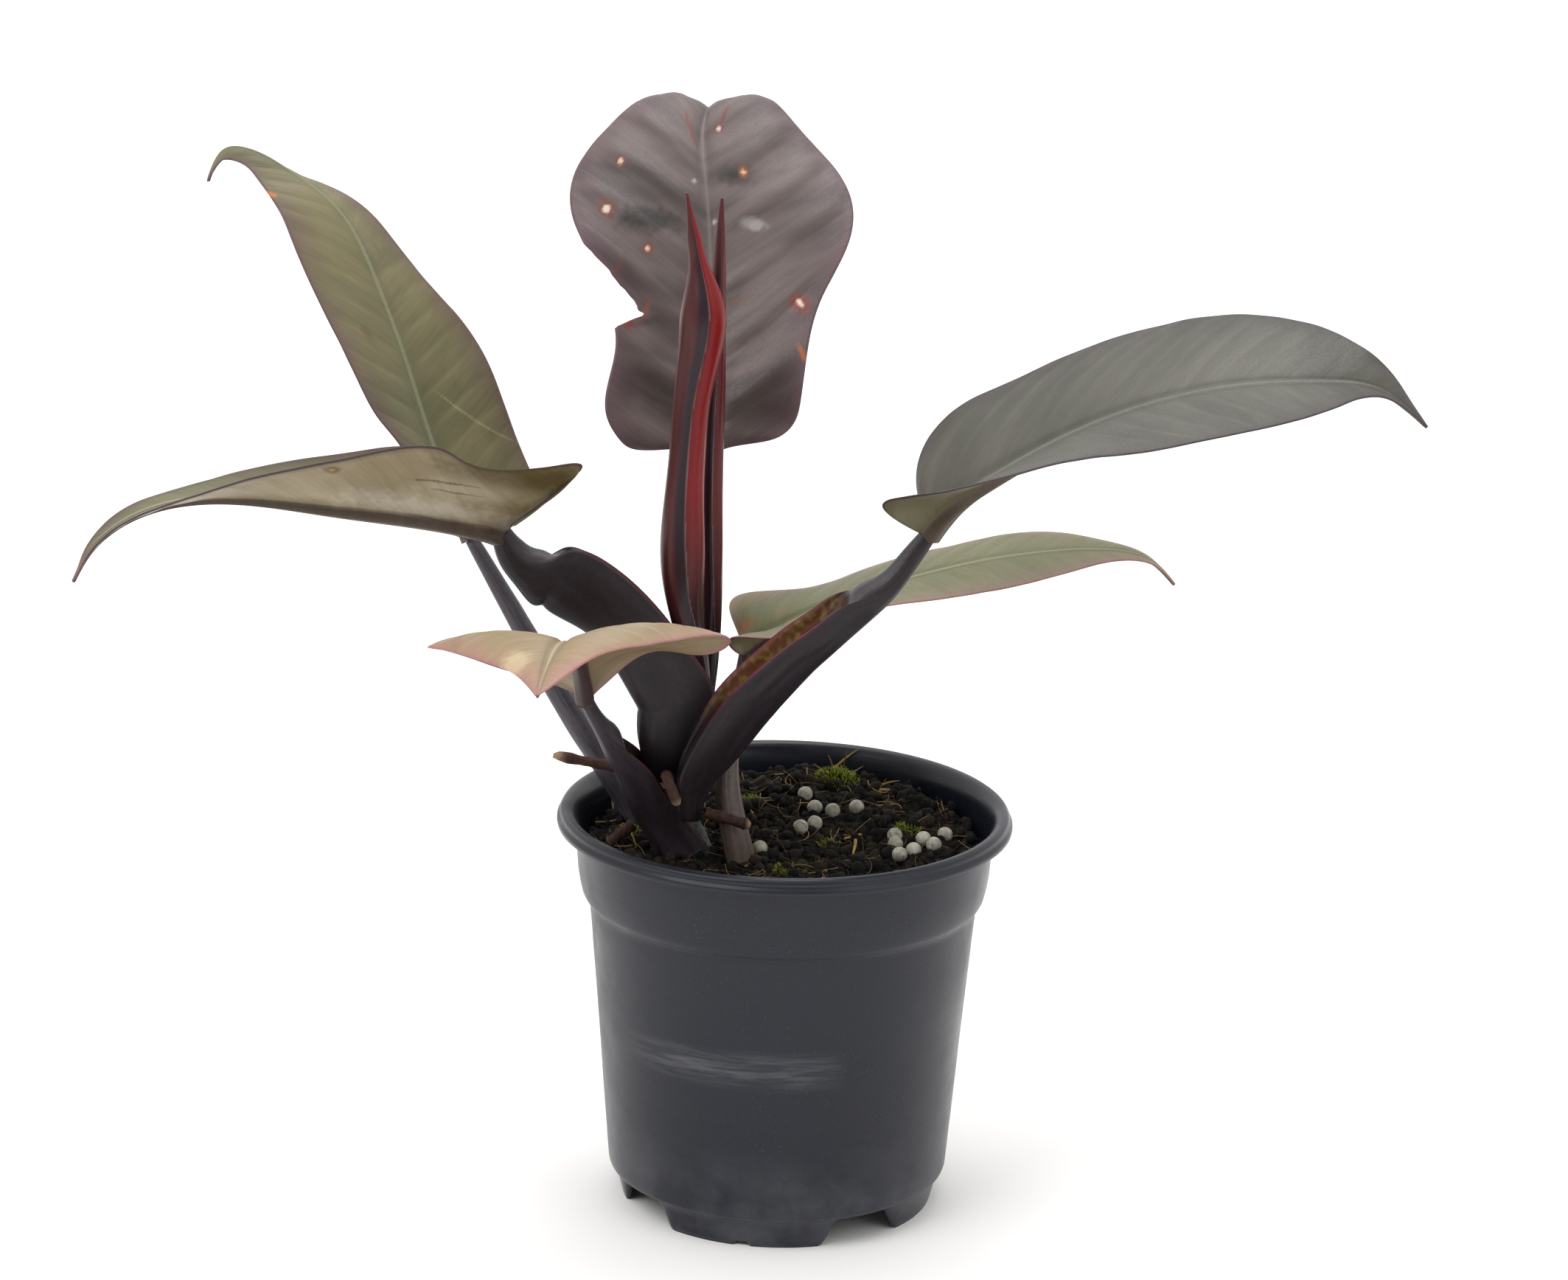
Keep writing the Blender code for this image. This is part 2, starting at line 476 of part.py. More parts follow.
def pot():
    outer, rim, inner, floor = pot_profile()
    under = floor - FLOOR_THICKNESS
    profile = [(0, under), (SKIRT_TOP_RADIUS - POT_WALL, under), (SKIRT_FOOT_RADIUS - POT_WALL - 0.1, 0)]
    profile += outer + rim + inner + [(0, floor)]
    shell = turned("pot", profile, (0.035, 0.037, 0.045), 0.42)
    for number in range(FOOT_COUNT):
        foot = FOOT_TURN + 360 / FOOT_COUNT * number
        gap = foot + 180 / FOOT_COUNT
        cut(shell, wedge(f"foot_gap_{number}", gap, FOOT_GAP_LOW, FOOT_GAP_HIGH, -1, under - FIT_GAP))
        nick = math.degrees(FOOT_NICK_WIDTH / 2 / SKIRT_FOOT_RADIUS)
        cut(shell, wedge(f"foot_nick_{number}", foot, nick, nick * NICK_TAPER, -1, FOOT_NICK_HEIGHT))
    for number in range(DRAIN_HOLES + 1):
        ring = DRAIN_RING if number else 0
        angle = math.radians(DRAIN_TURN + 360 / DRAIN_HOLES * number)
        drill = bmesh.new()
        radius, depth = DRAIN_RADIUS * MM, 4 * FLOOR_THICKNESS * MM
        off_spoke = 0 if number else math.pi / POT_SEGMENTS
        bmesh.ops.create_cone(
            drill, cap_ends=True, segments=DRAIN_SIDES, radius1=radius, radius2=radius, depth=depth,
            matrix=Matrix.Rotation(off_spoke, 4, "Z"),
        )
        place = (ring * math.sin(angle) * MM, -ring * math.cos(angle) * MM, floor * MM)
        bmesh.ops.translate(drill, vec=place, verts=drill.verts)
        mesh = bpy.data.meshes.new(f"drain_{number}")
        drill.to_mesh(mesh)
        drill.free()
        cutter = bpy.data.objects.new(f"drain_{number}", mesh)
        bpy.context.collection.objects.link(cutter)
        cut(shell, cutter)


def mix_height(x, y):
    """The level of the potting mix's surface, for points in millimetres from the pot's axis."""
    (right, right_turn), (back, back_turn), (slant, slant_back, slant_turn) = MIX_WAVES
    waves = np.sin(right * x + right_turn) * np.cos(back * y + back_turn)
    waves = waves + np.sin(slant * x + slant_back * y + slant_turn)
    return MIX_LEVEL + MIX_TILT * y + MIX_BUMP * waves


def mix_radius():
    return inner_radius(MIX_LEVEL) - FIT_GAP


def mix_reach(turn):
    """The radius of the mix's edge at each angle, held back where the edge dips to a narrower part of the wall."""
    radius = mix_radius()
    level = mix_height(radius * np.cos(turn), radius * np.sin(turn))
    wall = np.array([inner_radius(height) for height in level])
    return np.minimum(radius, wall - EDGE_GAP)


def potting_mix():
    """The root ball: the pot's inside less a clearance, under an uneven surface, with a pocket for each
    stalk that stands in it."""
    _, _, inner, floor = pot_profile()
    below = sorted({height for _, height in inner if height < MIX_LEVEL - 6})
    turn = 2 * math.pi * np.arange(POT_SEGMENTS) / POT_SEGMENTS
    rings = []
    for height in [floor + FIT_GAP, *[h for h in below if h > floor + 1]]:
        radius = inner_radius(height) - FIT_GAP
        rings.append(np.column_stack((radius * np.cos(turn), radius * np.sin(turn), np.full(POT_SEGMENTS, height))))
    for share in np.linspace(1, 0, MIX_RINGS, endpoint=False):
        radius = mix_reach(turn) * share
        x, y = radius * np.cos(turn), radius * np.sin(turn)
        rings.append(np.column_stack((x, y, mix_height(x, y))))
    points = np.concatenate(rings)
    faces = strip_faces(len(rings), POT_SEGMENTS, True)
    bottom, top = len(points), len(points) + 1
    points = np.concatenate((points, [(0, 0, floor + FIT_GAP), (0, 0, float(mix_height(0.0, 0.0)))]))
    last = (len(rings) - 1) * POT_SEGMENTS
    for k in range(POT_SEGMENTS):
        beside = (k + 1) % POT_SEGMENTS
        faces.append((bottom, beside, k))
        faces.append((top, last + k, last + beside))
    mix = new_object("potting_mix", points, faces, (0.012, 0.011, 0.009), 0.95)
    for name in ("front", "upper_left", "lower_right"):
        cut(mix, stalk(f"pocket_{name}", LEAVES[name], grow=FIT_GAP))
    points, widths, colour = ROUND_STALKS["stem"]
    cut(mix, round_stalk("pocket_stem", points, widths, colour, grow=FIT_GAP))


def spot(right, back):
    """Millimetres from the pot's axis, for a place given in shares of the mix's radius."""
    return right * mix_radius(), back * mix_radius()


def prill(name, right, back):
    x, y = spot(right, back)
    ball = bmesh.new()
    bmesh.ops.create_icosphere(ball, subdivisions=1, radius=PRILL_RADIUS * MM)
    height = float(mix_height(x, y)) + PRILL_RADIUS + REST_GAP
    bmesh.ops.translate(ball, vec=(x * MM, y * MM, height * MM), verts=ball.verts)
    mesh = bpy.data.meshes.new(name)
    ball.to_mesh(mesh)
    ball.free()
    mesh.shade_smooth()
    mesh.materials.append(material(name, (0.45, 0.44, 0.38), 0.6))
    bpy.context.collection.objects.link(bpy.data.objects.new(name, mesh))


def moss(name, right, back, radius, height, rings=3, sides=10):
    """A low dome over the mix, whose underside keeps the mix's own shape."""
    x0, y0 = spot(right, back)
    turn = 2 * math.pi * np.arange(sides) / sides
    points = [(x0, y0, float(mix_height(x0, y0)) + FIT_GAP + height)]
    for share in np.linspace(0, 1, rings + 1)[1:]:
        x = x0 + radius * share * np.cos(turn)
        y = y0 + radius * share * np.sin(turn)
        lift = FIT_GAP + MOSS_EDGE + (height - MOSS_EDGE) * math.sqrt(1 - share**2)
        points += list(zip(x, y, mix_height(x, y) + lift))
    rim = [(x, y, z - MOSS_EDGE) for x, y, z in points[-sides:]]
    points += rim + [(x0, y0, float(mix_height(x0, y0)) + FIT_GAP)]
    faces = [(0, 1 + k, 1 + (k + 1) % sides) for k in range(sides)]
    for ring in range(rings):
        start, below = 1 + ring * sides, 1 + (ring + 1) * sides
        faces += [(start + k, below + k, below + (k + 1) % sides, start + (k + 1) % sides) for k in range(sides)]
    start = 1 + rings * sides
    faces += [(start + k, len(points) - 1, start + (k + 1) % sides) for k in range(sides)]
    new_object(name, points, faces, (0.1, 0.13, 0.02), 0.9)


def sliver(name, first, last, half):
    """A flake of bark or straw, lying a little above the mix."""
    ends = np.array([spot(*first), spot(*last)])
    shares = np.linspace(0, 1, len(SLIVER_TAPER))
    x, y = (ends[0] + shares[:, None] * (ends[1] - ends[0])).T
    path = np.column_stack((x, y, mix_height(x, y) + half / 2 + REST_GAP))
    turn = math.degrees(math.atan2(ends[1, 1] - ends[0, 1], ends[1, 0] - ends[0, 0]))
    along, left, up = directions(path, turn)
    width = half * np.array(SLIVER_TAPER)
    whole = np.full(len(SLIVER_TAPER), -1.0)
    new_object(name, *tube(path, left, up, width, width / 2, whole, 6), (0.3, 0.2, 0.08), 0.8)


def build():
    for thing in list(bpy.data.objects):
        bpy.data.objects.remove(thing, do_unlink=True)
    pot()
    potting_mix()
    for name, leaf in LEAVES.items():
        stalk(f"petiole_{name}", leaf)
        blade(f"blade_{name}", leaf)
    for name, (points, widths, colour) in ROUND_STALKS.items():
        round_stalk(name, points, widths, colour, rows=22)
    taper = [(share, ROOT_RADIUS * width) for share, width in ROOT_TAPER]
    for number, points in enumerate(ROOTS, 1):
        round_stalk(f"aerial_root_{number}", points, taper, (0.09, 0.045, 0.03), rows=8, sides=8)
    for number, place in enumerate(PRILLS, 1):
        prill(f"prill_{number:02d}", *place)
    for number, clump in enumerate(MOSS, 1):
        moss(f"moss_{number}", *clump)
    for number, flake in enumerate(SLIVERS, 1):
        sliver(f"sliver_{number}", *flake)
    place = Matrix.Translation((POT_PLACE[0] * MM, POT_PLACE[1] * MM, 0))
    for mesh in bpy.data.meshes:
        mesh.transform(place)


build()
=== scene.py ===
"""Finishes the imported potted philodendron: leaves, stalks, rolled new leaves, roots, potting mix and pot,
each as a surface worked out from a formula, with a procedural material, on a pale floor in soft light.

Lengths in the tables are millimetres from the pot's axis (+Z up, +X right, the front towards -Y). The plant's
points are given above the mix's level at that axis. Both are moved to the frame's own place, and a mesh is in
metres.
"""

import math

import bmesh
import bpy
import numpy as np
from mathutils import Matrix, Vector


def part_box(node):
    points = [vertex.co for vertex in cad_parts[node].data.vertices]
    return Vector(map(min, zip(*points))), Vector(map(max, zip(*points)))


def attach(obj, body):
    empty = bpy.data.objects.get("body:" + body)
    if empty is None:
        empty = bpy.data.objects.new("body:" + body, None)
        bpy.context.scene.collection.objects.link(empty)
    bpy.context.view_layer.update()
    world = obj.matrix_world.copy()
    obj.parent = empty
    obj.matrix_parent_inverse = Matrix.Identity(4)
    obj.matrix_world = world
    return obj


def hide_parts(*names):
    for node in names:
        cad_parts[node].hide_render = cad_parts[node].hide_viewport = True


bl_info = {
    "name": "Potted philodendron",
    "version": (1, 0, 0),
    "blender": (4, 5, 0),
    "location": "3D View > Sidebar > Plant",
    "description": "Builds the finished leaves, pot and potting mix over the packed frame",
    "category": "Object",
}

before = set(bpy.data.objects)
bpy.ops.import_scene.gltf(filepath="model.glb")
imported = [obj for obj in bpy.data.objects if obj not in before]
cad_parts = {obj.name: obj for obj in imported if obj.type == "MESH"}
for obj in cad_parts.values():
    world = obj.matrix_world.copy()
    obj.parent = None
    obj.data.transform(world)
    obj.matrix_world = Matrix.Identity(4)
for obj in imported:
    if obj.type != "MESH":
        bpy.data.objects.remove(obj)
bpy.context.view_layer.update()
MM = 0.001
TURN = 2 * math.pi


def box_mm(node):
    """The lowest and highest corners of a frame node, in millimetres."""
    return [np.array(corner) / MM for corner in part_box(node)]


def linear(code):
    """A colour written as six hexadecimal digits, as linear red, green and blue."""
    parts = np.array([int(code[i:i + 2], 16) for i in (0, 2, 4)]) / 255
    return tuple(np.where(parts <= 0.04045, parts / 12.92, ((parts + 0.055) / 1.055) ** 2.4))


POT_LOW, POT_HIGH = box_mm("pot")
AXIS_X, AXIS_Y, _ = (POT_LOW + POT_HIGH) / 2
POT_HEIGHT = float(POT_HIGH[2])
MIX_LOW, MIX_HIGH = box_mm("potting_mix")
MIX_RADIUS = float(MIX_HIGH[0] - MIX_LOW[0]) / 2
MIX_LEVEL = POT_HEIGHT - 11.6   # the mix's level at the pot's axis: 11.6 below the rim
MIX_TILT = 0.085                # its rise towards the back, for each millimetre


def colour_setting(name, code, text):
    return bpy.props.FloatVectorProperty(
        name=name, description=text, subtype="COLOR", size=3, min=0, max=1, default=linear(code)
    )


def length_setting(name, default, low, high, text):
    return bpy.props.FloatProperty(
        name=name, description=text, unit="LENGTH", default=default, min=low, max=high
    )


class PlantSettings(bpy.types.PropertyGroup):
    """Sizes and colours that a user would change."""

    leaf_thickness: length_setting(
        "Leaf thickness", 0.0006, 0.0002, 0.0012, "Thickness of a blade between its veins"
    )
    vein_spacing: length_setting(
        "Vein spacing", 0.0085, 0.004, 0.02, "Distance between a blade's main side veins at its midrib"
    )
    vein_relief: length_setting(
        "Vein relief", 0.00022, 0, 0.001, "How far a blade swells between its side veins"
    )
    crumb_size: length_setting(
        "Crumb size", 0.0036, 0.001, 0.01, "Width of the potting mix's larger crumbs"
    )
    pot_colour: colour_setting("Pot", "181a24", "Colour of the pot's plastic")
    dust_colour: colour_setting("Dust", "5c5d63", "Colour of the dust and scuffs on the pot")
    mix_colour: colour_setting("Potting mix", "0d0b0a", "Colour of the potting mix")
    moss_colour: colour_setting("Moss", "56641a", "Colour of the moss")
    prill_colour: colour_setting("Prills", "c3c0b2", "Colour of the fertiliser prills")
    straw_colour: colour_setting("Straw", "9a7f4c", "Colour of straw and fibres on the mix")
    root_colour: colour_setting("Aerial roots", "4a2f27", "Colour of the aerial roots")
    stem_colour: colour_setting("Stem", "6b706b", "Colour of the stem, with its bloom")
    stalk_colour: colour_setting("Stalks", "1c161a", "Colour of the leaf stalks and their sheaths")
    stalk_red: colour_setting("Sheath margin", "5f2226", "Colour of a sheath's thin margin")
    spear_colour: colour_setting("New leaf", "43191c", "Outer colour of a rolled new leaf")
    spear_red: colour_setting("New leaf, inside", "74050a", "Inner colour of a rolled new leaf")


def noise(points, size, seed=0):
    """Smooth value noise between -1 and 1: random values on a cubic lattice of the given size, joined by
    weights t*t*(3 - 2t) along each axis. points is (..., 3)."""
    scaled = np.asarray(points, float) / size + 57.31 * (seed + 1)
    cell = np.floor(scaled).astype(np.int64)
    part = scaled - cell
    weight = part * part * (3 - 2 * part)
    total = 0
    for dx in (0, 1):
        for dy in (0, 1):
            for dz in (0, 1):
                mixed = (cell[..., 0] + dx) * 374761393 + (cell[..., 1] + dy) * 668265263
                mixed = (mixed + (cell[..., 2] + dz) * 1442695041 + seed * 97531) & 0xFFFFFFFF
                mixed = ((mixed ^ (mixed >> 13)) * 1274126177) & 0xFFFFFFFF
                value = ((mixed ^ (mixed >> 16)) & 0xFFFF) / 32767.5 - 1
                share = (weight[..., 0] if dx else 1 - weight[..., 0])
                share = share * (weight[..., 1] if dy else 1 - weight[..., 1])
                share = share * (weight[..., 2] if dz else 1 - weight[..., 2])
                total = total + value * share
    return total


def smooth(shares, values, at):
    """A natural cubic spline through values given at shares, read at each share in at."""
    shares = np.asarray(shares, float)
    values = np.asarray(values, float).reshape(len(shares), -1)
    gaps = np.diff(shares)
    system = np.eye(len(shares))
    pull = np.zeros_like(values)
    for i in range(1, len(shares) - 1):
        system[i, i - 1:i + 2] = gaps[i - 1], 2 * (gaps[i - 1] + gaps[i]), gaps[i]
        pull[i] = 6 * ((values[i + 1] - values[i]) / gaps[i] - (values[i] - values[i - 1]) / gaps[i - 1])
    bend = np.linalg.solve(system, pull)
    k = np.clip(np.searchsorted(shares, at, side="right") - 1, 0, len(gaps) - 1)
    after = (np.asarray(at) - shares[k])[:, None]
    before = (shares[k + 1] - np.asarray(at))[:, None]
    gap = gaps[k][:, None]
    return (
        (bend[k] * before**3 + bend[k + 1] * after**3) / (6 * gap)
        + (values[k] / gap - bend[k] * gap / 6) * before
        + (values[k + 1] / gap - bend[k + 1] * gap / 6) * after
    )


def unit(vectors):
    """Vectors scaled to length 1."""
    return vectors / np.maximum(np.linalg.norm(vectors, axis=-1, keepdims=True), 1e-9)


def distances(path):
    """How far along a path each of its points lies."""
    return np.concatenate(([0], np.cumsum(np.linalg.norm(np.diff(path, axis=0), axis=1))))


def circle(sides):
    """The angles of points evenly round a circle."""
    return TURN * np.arange(sides) / sides


def flat(first, second):
    """Points on the plane of the first two axes."""
    return np.stack((first, second, 0 * first), axis=-1)


def route(points, shares):
    """A smooth path through the points, read at shares of its chord length."""
    points = np.asarray(points, float)
    reach = distances(points)
    return smooth(reach / reach[-1], points, shares)


def directions(path, heading, roll=0.0):
    """Along, left and up at each point of the path; left is level when roll is 0."""
    along = unit(np.gradient(path, axis=0))
    turn = math.radians(heading)
    level = np.array((-math.sin(turn), math.cos(turn), 0.0))
    left = unit(level - (along @ level)[:, None] * along)
    up = np.cross(along, left)
    tilt = np.radians(roll)
    cosine, sine = np.cos(tilt), np.sin(tilt)
    return along, cosine * left + sine * up, cosine * up - sine * left


def above_mix(points):
    """Points given from the pot's axis and the mix's datum, in the part's frame."""
    return np.asarray(points, float) + (AXIS_X, AXIS_Y, MIX_LEVEL)


def from_axis(points):
    """Points given from the pot's axis and its feet, in the part's frame."""
    return np.asarray(points, float) + (AXIS_X, AXIS_Y, 0)


def grid_faces(rows, columns, wrap=False):
    """Quads over a grid of points stored row by row; wrap joins the last column to the first."""
    index = np.arange(rows * columns).reshape(rows, columns)
    near = index if wrap else index[:, :-1]
    far = np.roll(index, -1, axis=1) if wrap else index[:, 1:]
    return np.stack((near[:-1], far[:-1], far[1:], near[1:]), axis=-1).reshape(-1, 4)


def normals_of(grid, wrap=False):
    """Unit normals of a grid of points: the cross product of its differences across and along."""
    along = np.gradient(grid, axis=0)
    if wrap:
        across = np.roll(grid, -1, axis=1) - np.roll(grid, 1, axis=1)
    else:
        across = np.gradient(grid, axis=1)
    return unit(np.cross(across, along))


def band(value, middle, width):
    """1 at the middle, falling to 0 as a bell whose half width is width."""
    return np.exp(-(((value - middle) / width) ** 2))


def step(value, low, high):
    """0 below low and 1 above high, with a smooth rise between. low above high falls instead."""
    share = np.clip((value - low) / (high - low), 0, 1)
    return share * share * (3 - 2 * share)


def add(name, data):
    """A new object with this data, in the scene."""
    made = bpy.data.objects.new(name, data)
    bpy.context.scene.collection.objects.link(made)
    return made


def layered(tint, *coats):
    """A colour under coats of others, each given with its share, which may be an array."""
    for colour, share in coats:
        share = np.clip(share, 0, 1)[..., None]
        colour = linear(colour) if isinstance(colour, str) else colour
        tint = np.asarray(tint) * (1 - share) + np.asarray(colour) * share
    return tint


def write_mesh(name, points, faces, made_of, tint=None, weave=None):
    """A smooth mesh object at the origin, from points in millimetres and a list of face arrays. tint is a
    colour and weave a vector at each point, which the material reads as attributes."""
    points = np.ascontiguousarray(np.asarray(points, float).reshape(-1, 3) * MM, dtype=np.float32)
    loops = np.concatenate([np.asarray(part).reshape(-1) for part in faces]).astype(np.int32)
    counts = np.concatenate([np.full(len(part), part.shape[1]) for part in faces]).astype(np.int32)
    mesh = bpy.data.meshes.new(name)
    mesh.vertices.add(len(points))
    mesh.vertices.foreach_set("co", points.reshape(-1))
    mesh.loops.add(len(loops))
    mesh.loops.foreach_set("vertex_index", loops)
    mesh.polygons.add(len(counts))
    mesh.polygons.foreach_set("loop_start", np.concatenate(([0], np.cumsum(counts)[:-1])).astype(np.int32))
    mesh.update(calc_edges=True)
    mesh.validate()
    outward = bmesh.new()
    outward.from_mesh(mesh)
    bmesh.ops.recalc_face_normals(outward, faces=outward.faces)
    outward.to_mesh(mesh)
    outward.free()
    mesh.polygons.foreach_set("use_smooth", np.ones(len(mesh.polygons), bool))
    if tint is not None:
        colours = np.ones((len(points), 4), np.float32)
        colours[:, :3] = np.asarray(tint, float).reshape(-1, 3)
        mesh.attributes.new("tint", "FLOAT_COLOR", "POINT").data.foreach_set("color", colours.reshape(-1))
    if weave is not None:
        vectors = np.asarray(weave, np.float32).reshape(-1)
        mesh.attributes.new("weave", "FLOAT_VECTOR", "POINT").data.foreach_set("vector", vectors)
    mesh.materials.append(made_of)
    return add(name, mesh)


def fit(piece, slot, *nodes):
    """Rides the piece on the frame's one body, in place of its nodes."""
    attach(piece, "root")
    if nodes:
        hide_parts(*nodes)
    return piece


def tube_faces(rows, columns):
    """Quads round a closed tube, with a fan at each end to a pole stored after the grid."""
    ring = np.arange(columns)
    beside = np.roll(ring, -1)
    first, last = rows * columns, rows * columns + 1
    start = np.stack((np.full(columns, first), beside, ring), axis=1)
    end = (rows - 1) * columns
    finish = np.stack((np.full(columns, last), end + ring, end + beside), axis=1)
    return [grid_faces(rows, columns, wrap=True), start, finish]


def with_poles(grid):
    """A grid's points, then the middle of its first row and of its last."""
    return np.concatenate((grid.reshape(-1, grid.shape[-1]), [grid[0].mean(axis=0)], [grid[-1].mean(axis=0)]))


def write_tube(name, grid, made_of, tint, weave=None):
    """A closed tube from a grid of its points and the colour, and perhaps the weave, at each of them."""
    return write_mesh(
        name, with_poles(grid), tube_faces(*grid.shape[:2]), made_of, with_poles(tint),
        None if weave is None else with_poles(weave) * MM,
    )


# Materials

def new_material(name, roughness, **sockets):
    """A Principled material; sockets are constants for its own inputs, by their names with underscores."""
    made = bpy.data.materials.new(name)
    made.use_nodes = True
    shader = made.node_tree.nodes["Principled BSDF"]
    shader.inputs["Roughness"].default_value = roughness
    for key, value in sockets.items():
        shader.inputs[key.replace("_", " ")].default_value = value
    return made, made.node_tree, shader


def feed(tree, socket, value):
    """Sets a socket from an output or a constant; a colour is given as red, green and blue."""
    if isinstance(value, bpy.types.NodeSocket):
        tree.links.new(value, socket)
    else:
        socket.default_value = (*value, 1) if socket.type == "RGBA" else value


def put(tree, kind, inputs, **settings):
    """A new node. inputs maps a socket's name or number to a constant or to an output that feeds it."""
    made = tree.nodes.new(kind)
    for key, value in settings.items():
        setattr(made, key, value)
    for key, value in inputs.items():
        feed(tree, made.inputs[key], value)
    return made


def grain(tree, where, scale, detail=2.0, rough=0.5):
    """The output of a noise texture on a vector."""
    inputs = {"Vector": where, "Scale": scale, "Detail": detail, "Roughness": rough}
    return put(tree, "ShaderNodeTexNoise", inputs).outputs["Fac"]


def stretched(tree, where, scale):
    """A vector scaled along each axis."""
    return put(tree, "ShaderNodeMapping", {"Vector": where, "Scale": scale}).outputs["Vector"]


def ranged(tree, value, low, high, to_low=0.0, to_high=1.0):
    """A value mapped from low..high to another range, and held within it."""
    inputs = {"Value": value, "From Min": low, "From Max": high, "To Min": to_low, "To Max": to_high}
    return put(tree, "ShaderNodeMapRange", inputs).outputs["Result"]


def blended(tree, share, first, second, how="MIX"):
    """Two colours blended by share."""
    made = tree.nodes.new("ShaderNodeMix")
    made.data_type = "RGBA"
    made.blend_type = how
    for socket, value in ((0, share), (6, first), (7, second)):
        feed(tree, made.inputs[socket], value)
    return made.outputs[2]


def math_node(tree, how, first, second):
    return put(tree, "ShaderNodeMath", {0: first, 1: second}, operation=how).outputs[0]


def product(tree, first, *others):
    """The product of several values."""
    for other in others:
        first = math_node(tree, "MULTIPLY", first, other)
    return first


def raised(tree, shader, height, distance, strength=1.0, under=None):
    """Feeds a bump from the height into the shader, over an earlier bump."""
    inputs = {"Height": height, "Distance": distance, "Strength": strength}
    if under is not None:
        inputs["Normal"] = under
    normal = put(tree, "ShaderNodeBump", inputs).outputs["Normal"]
    tree.links.new(normal, shader.inputs["Normal"])
    return normal


def attribute(tree, name, output="Color"):
    return put(tree, "ShaderNodeAttribute", {}, attribute_name=name).outputs[output]


def object_place(tree):
    return put(tree, "ShaderNodeTexCoord", {}).outputs["Object"]


def paint(tree, shader, shade):
    """Colours the shader with the mesh's tint times a grey shade."""
    grey = put(tree, "ShaderNodeCombineColor", {0: shade, 1: shade, 2: shade}).outputs[0]
    feed(tree, shader.inputs["Base Color"], blended(tree, 1.0, attribute(tree, "tint"), grey, "MULTIPLY"))


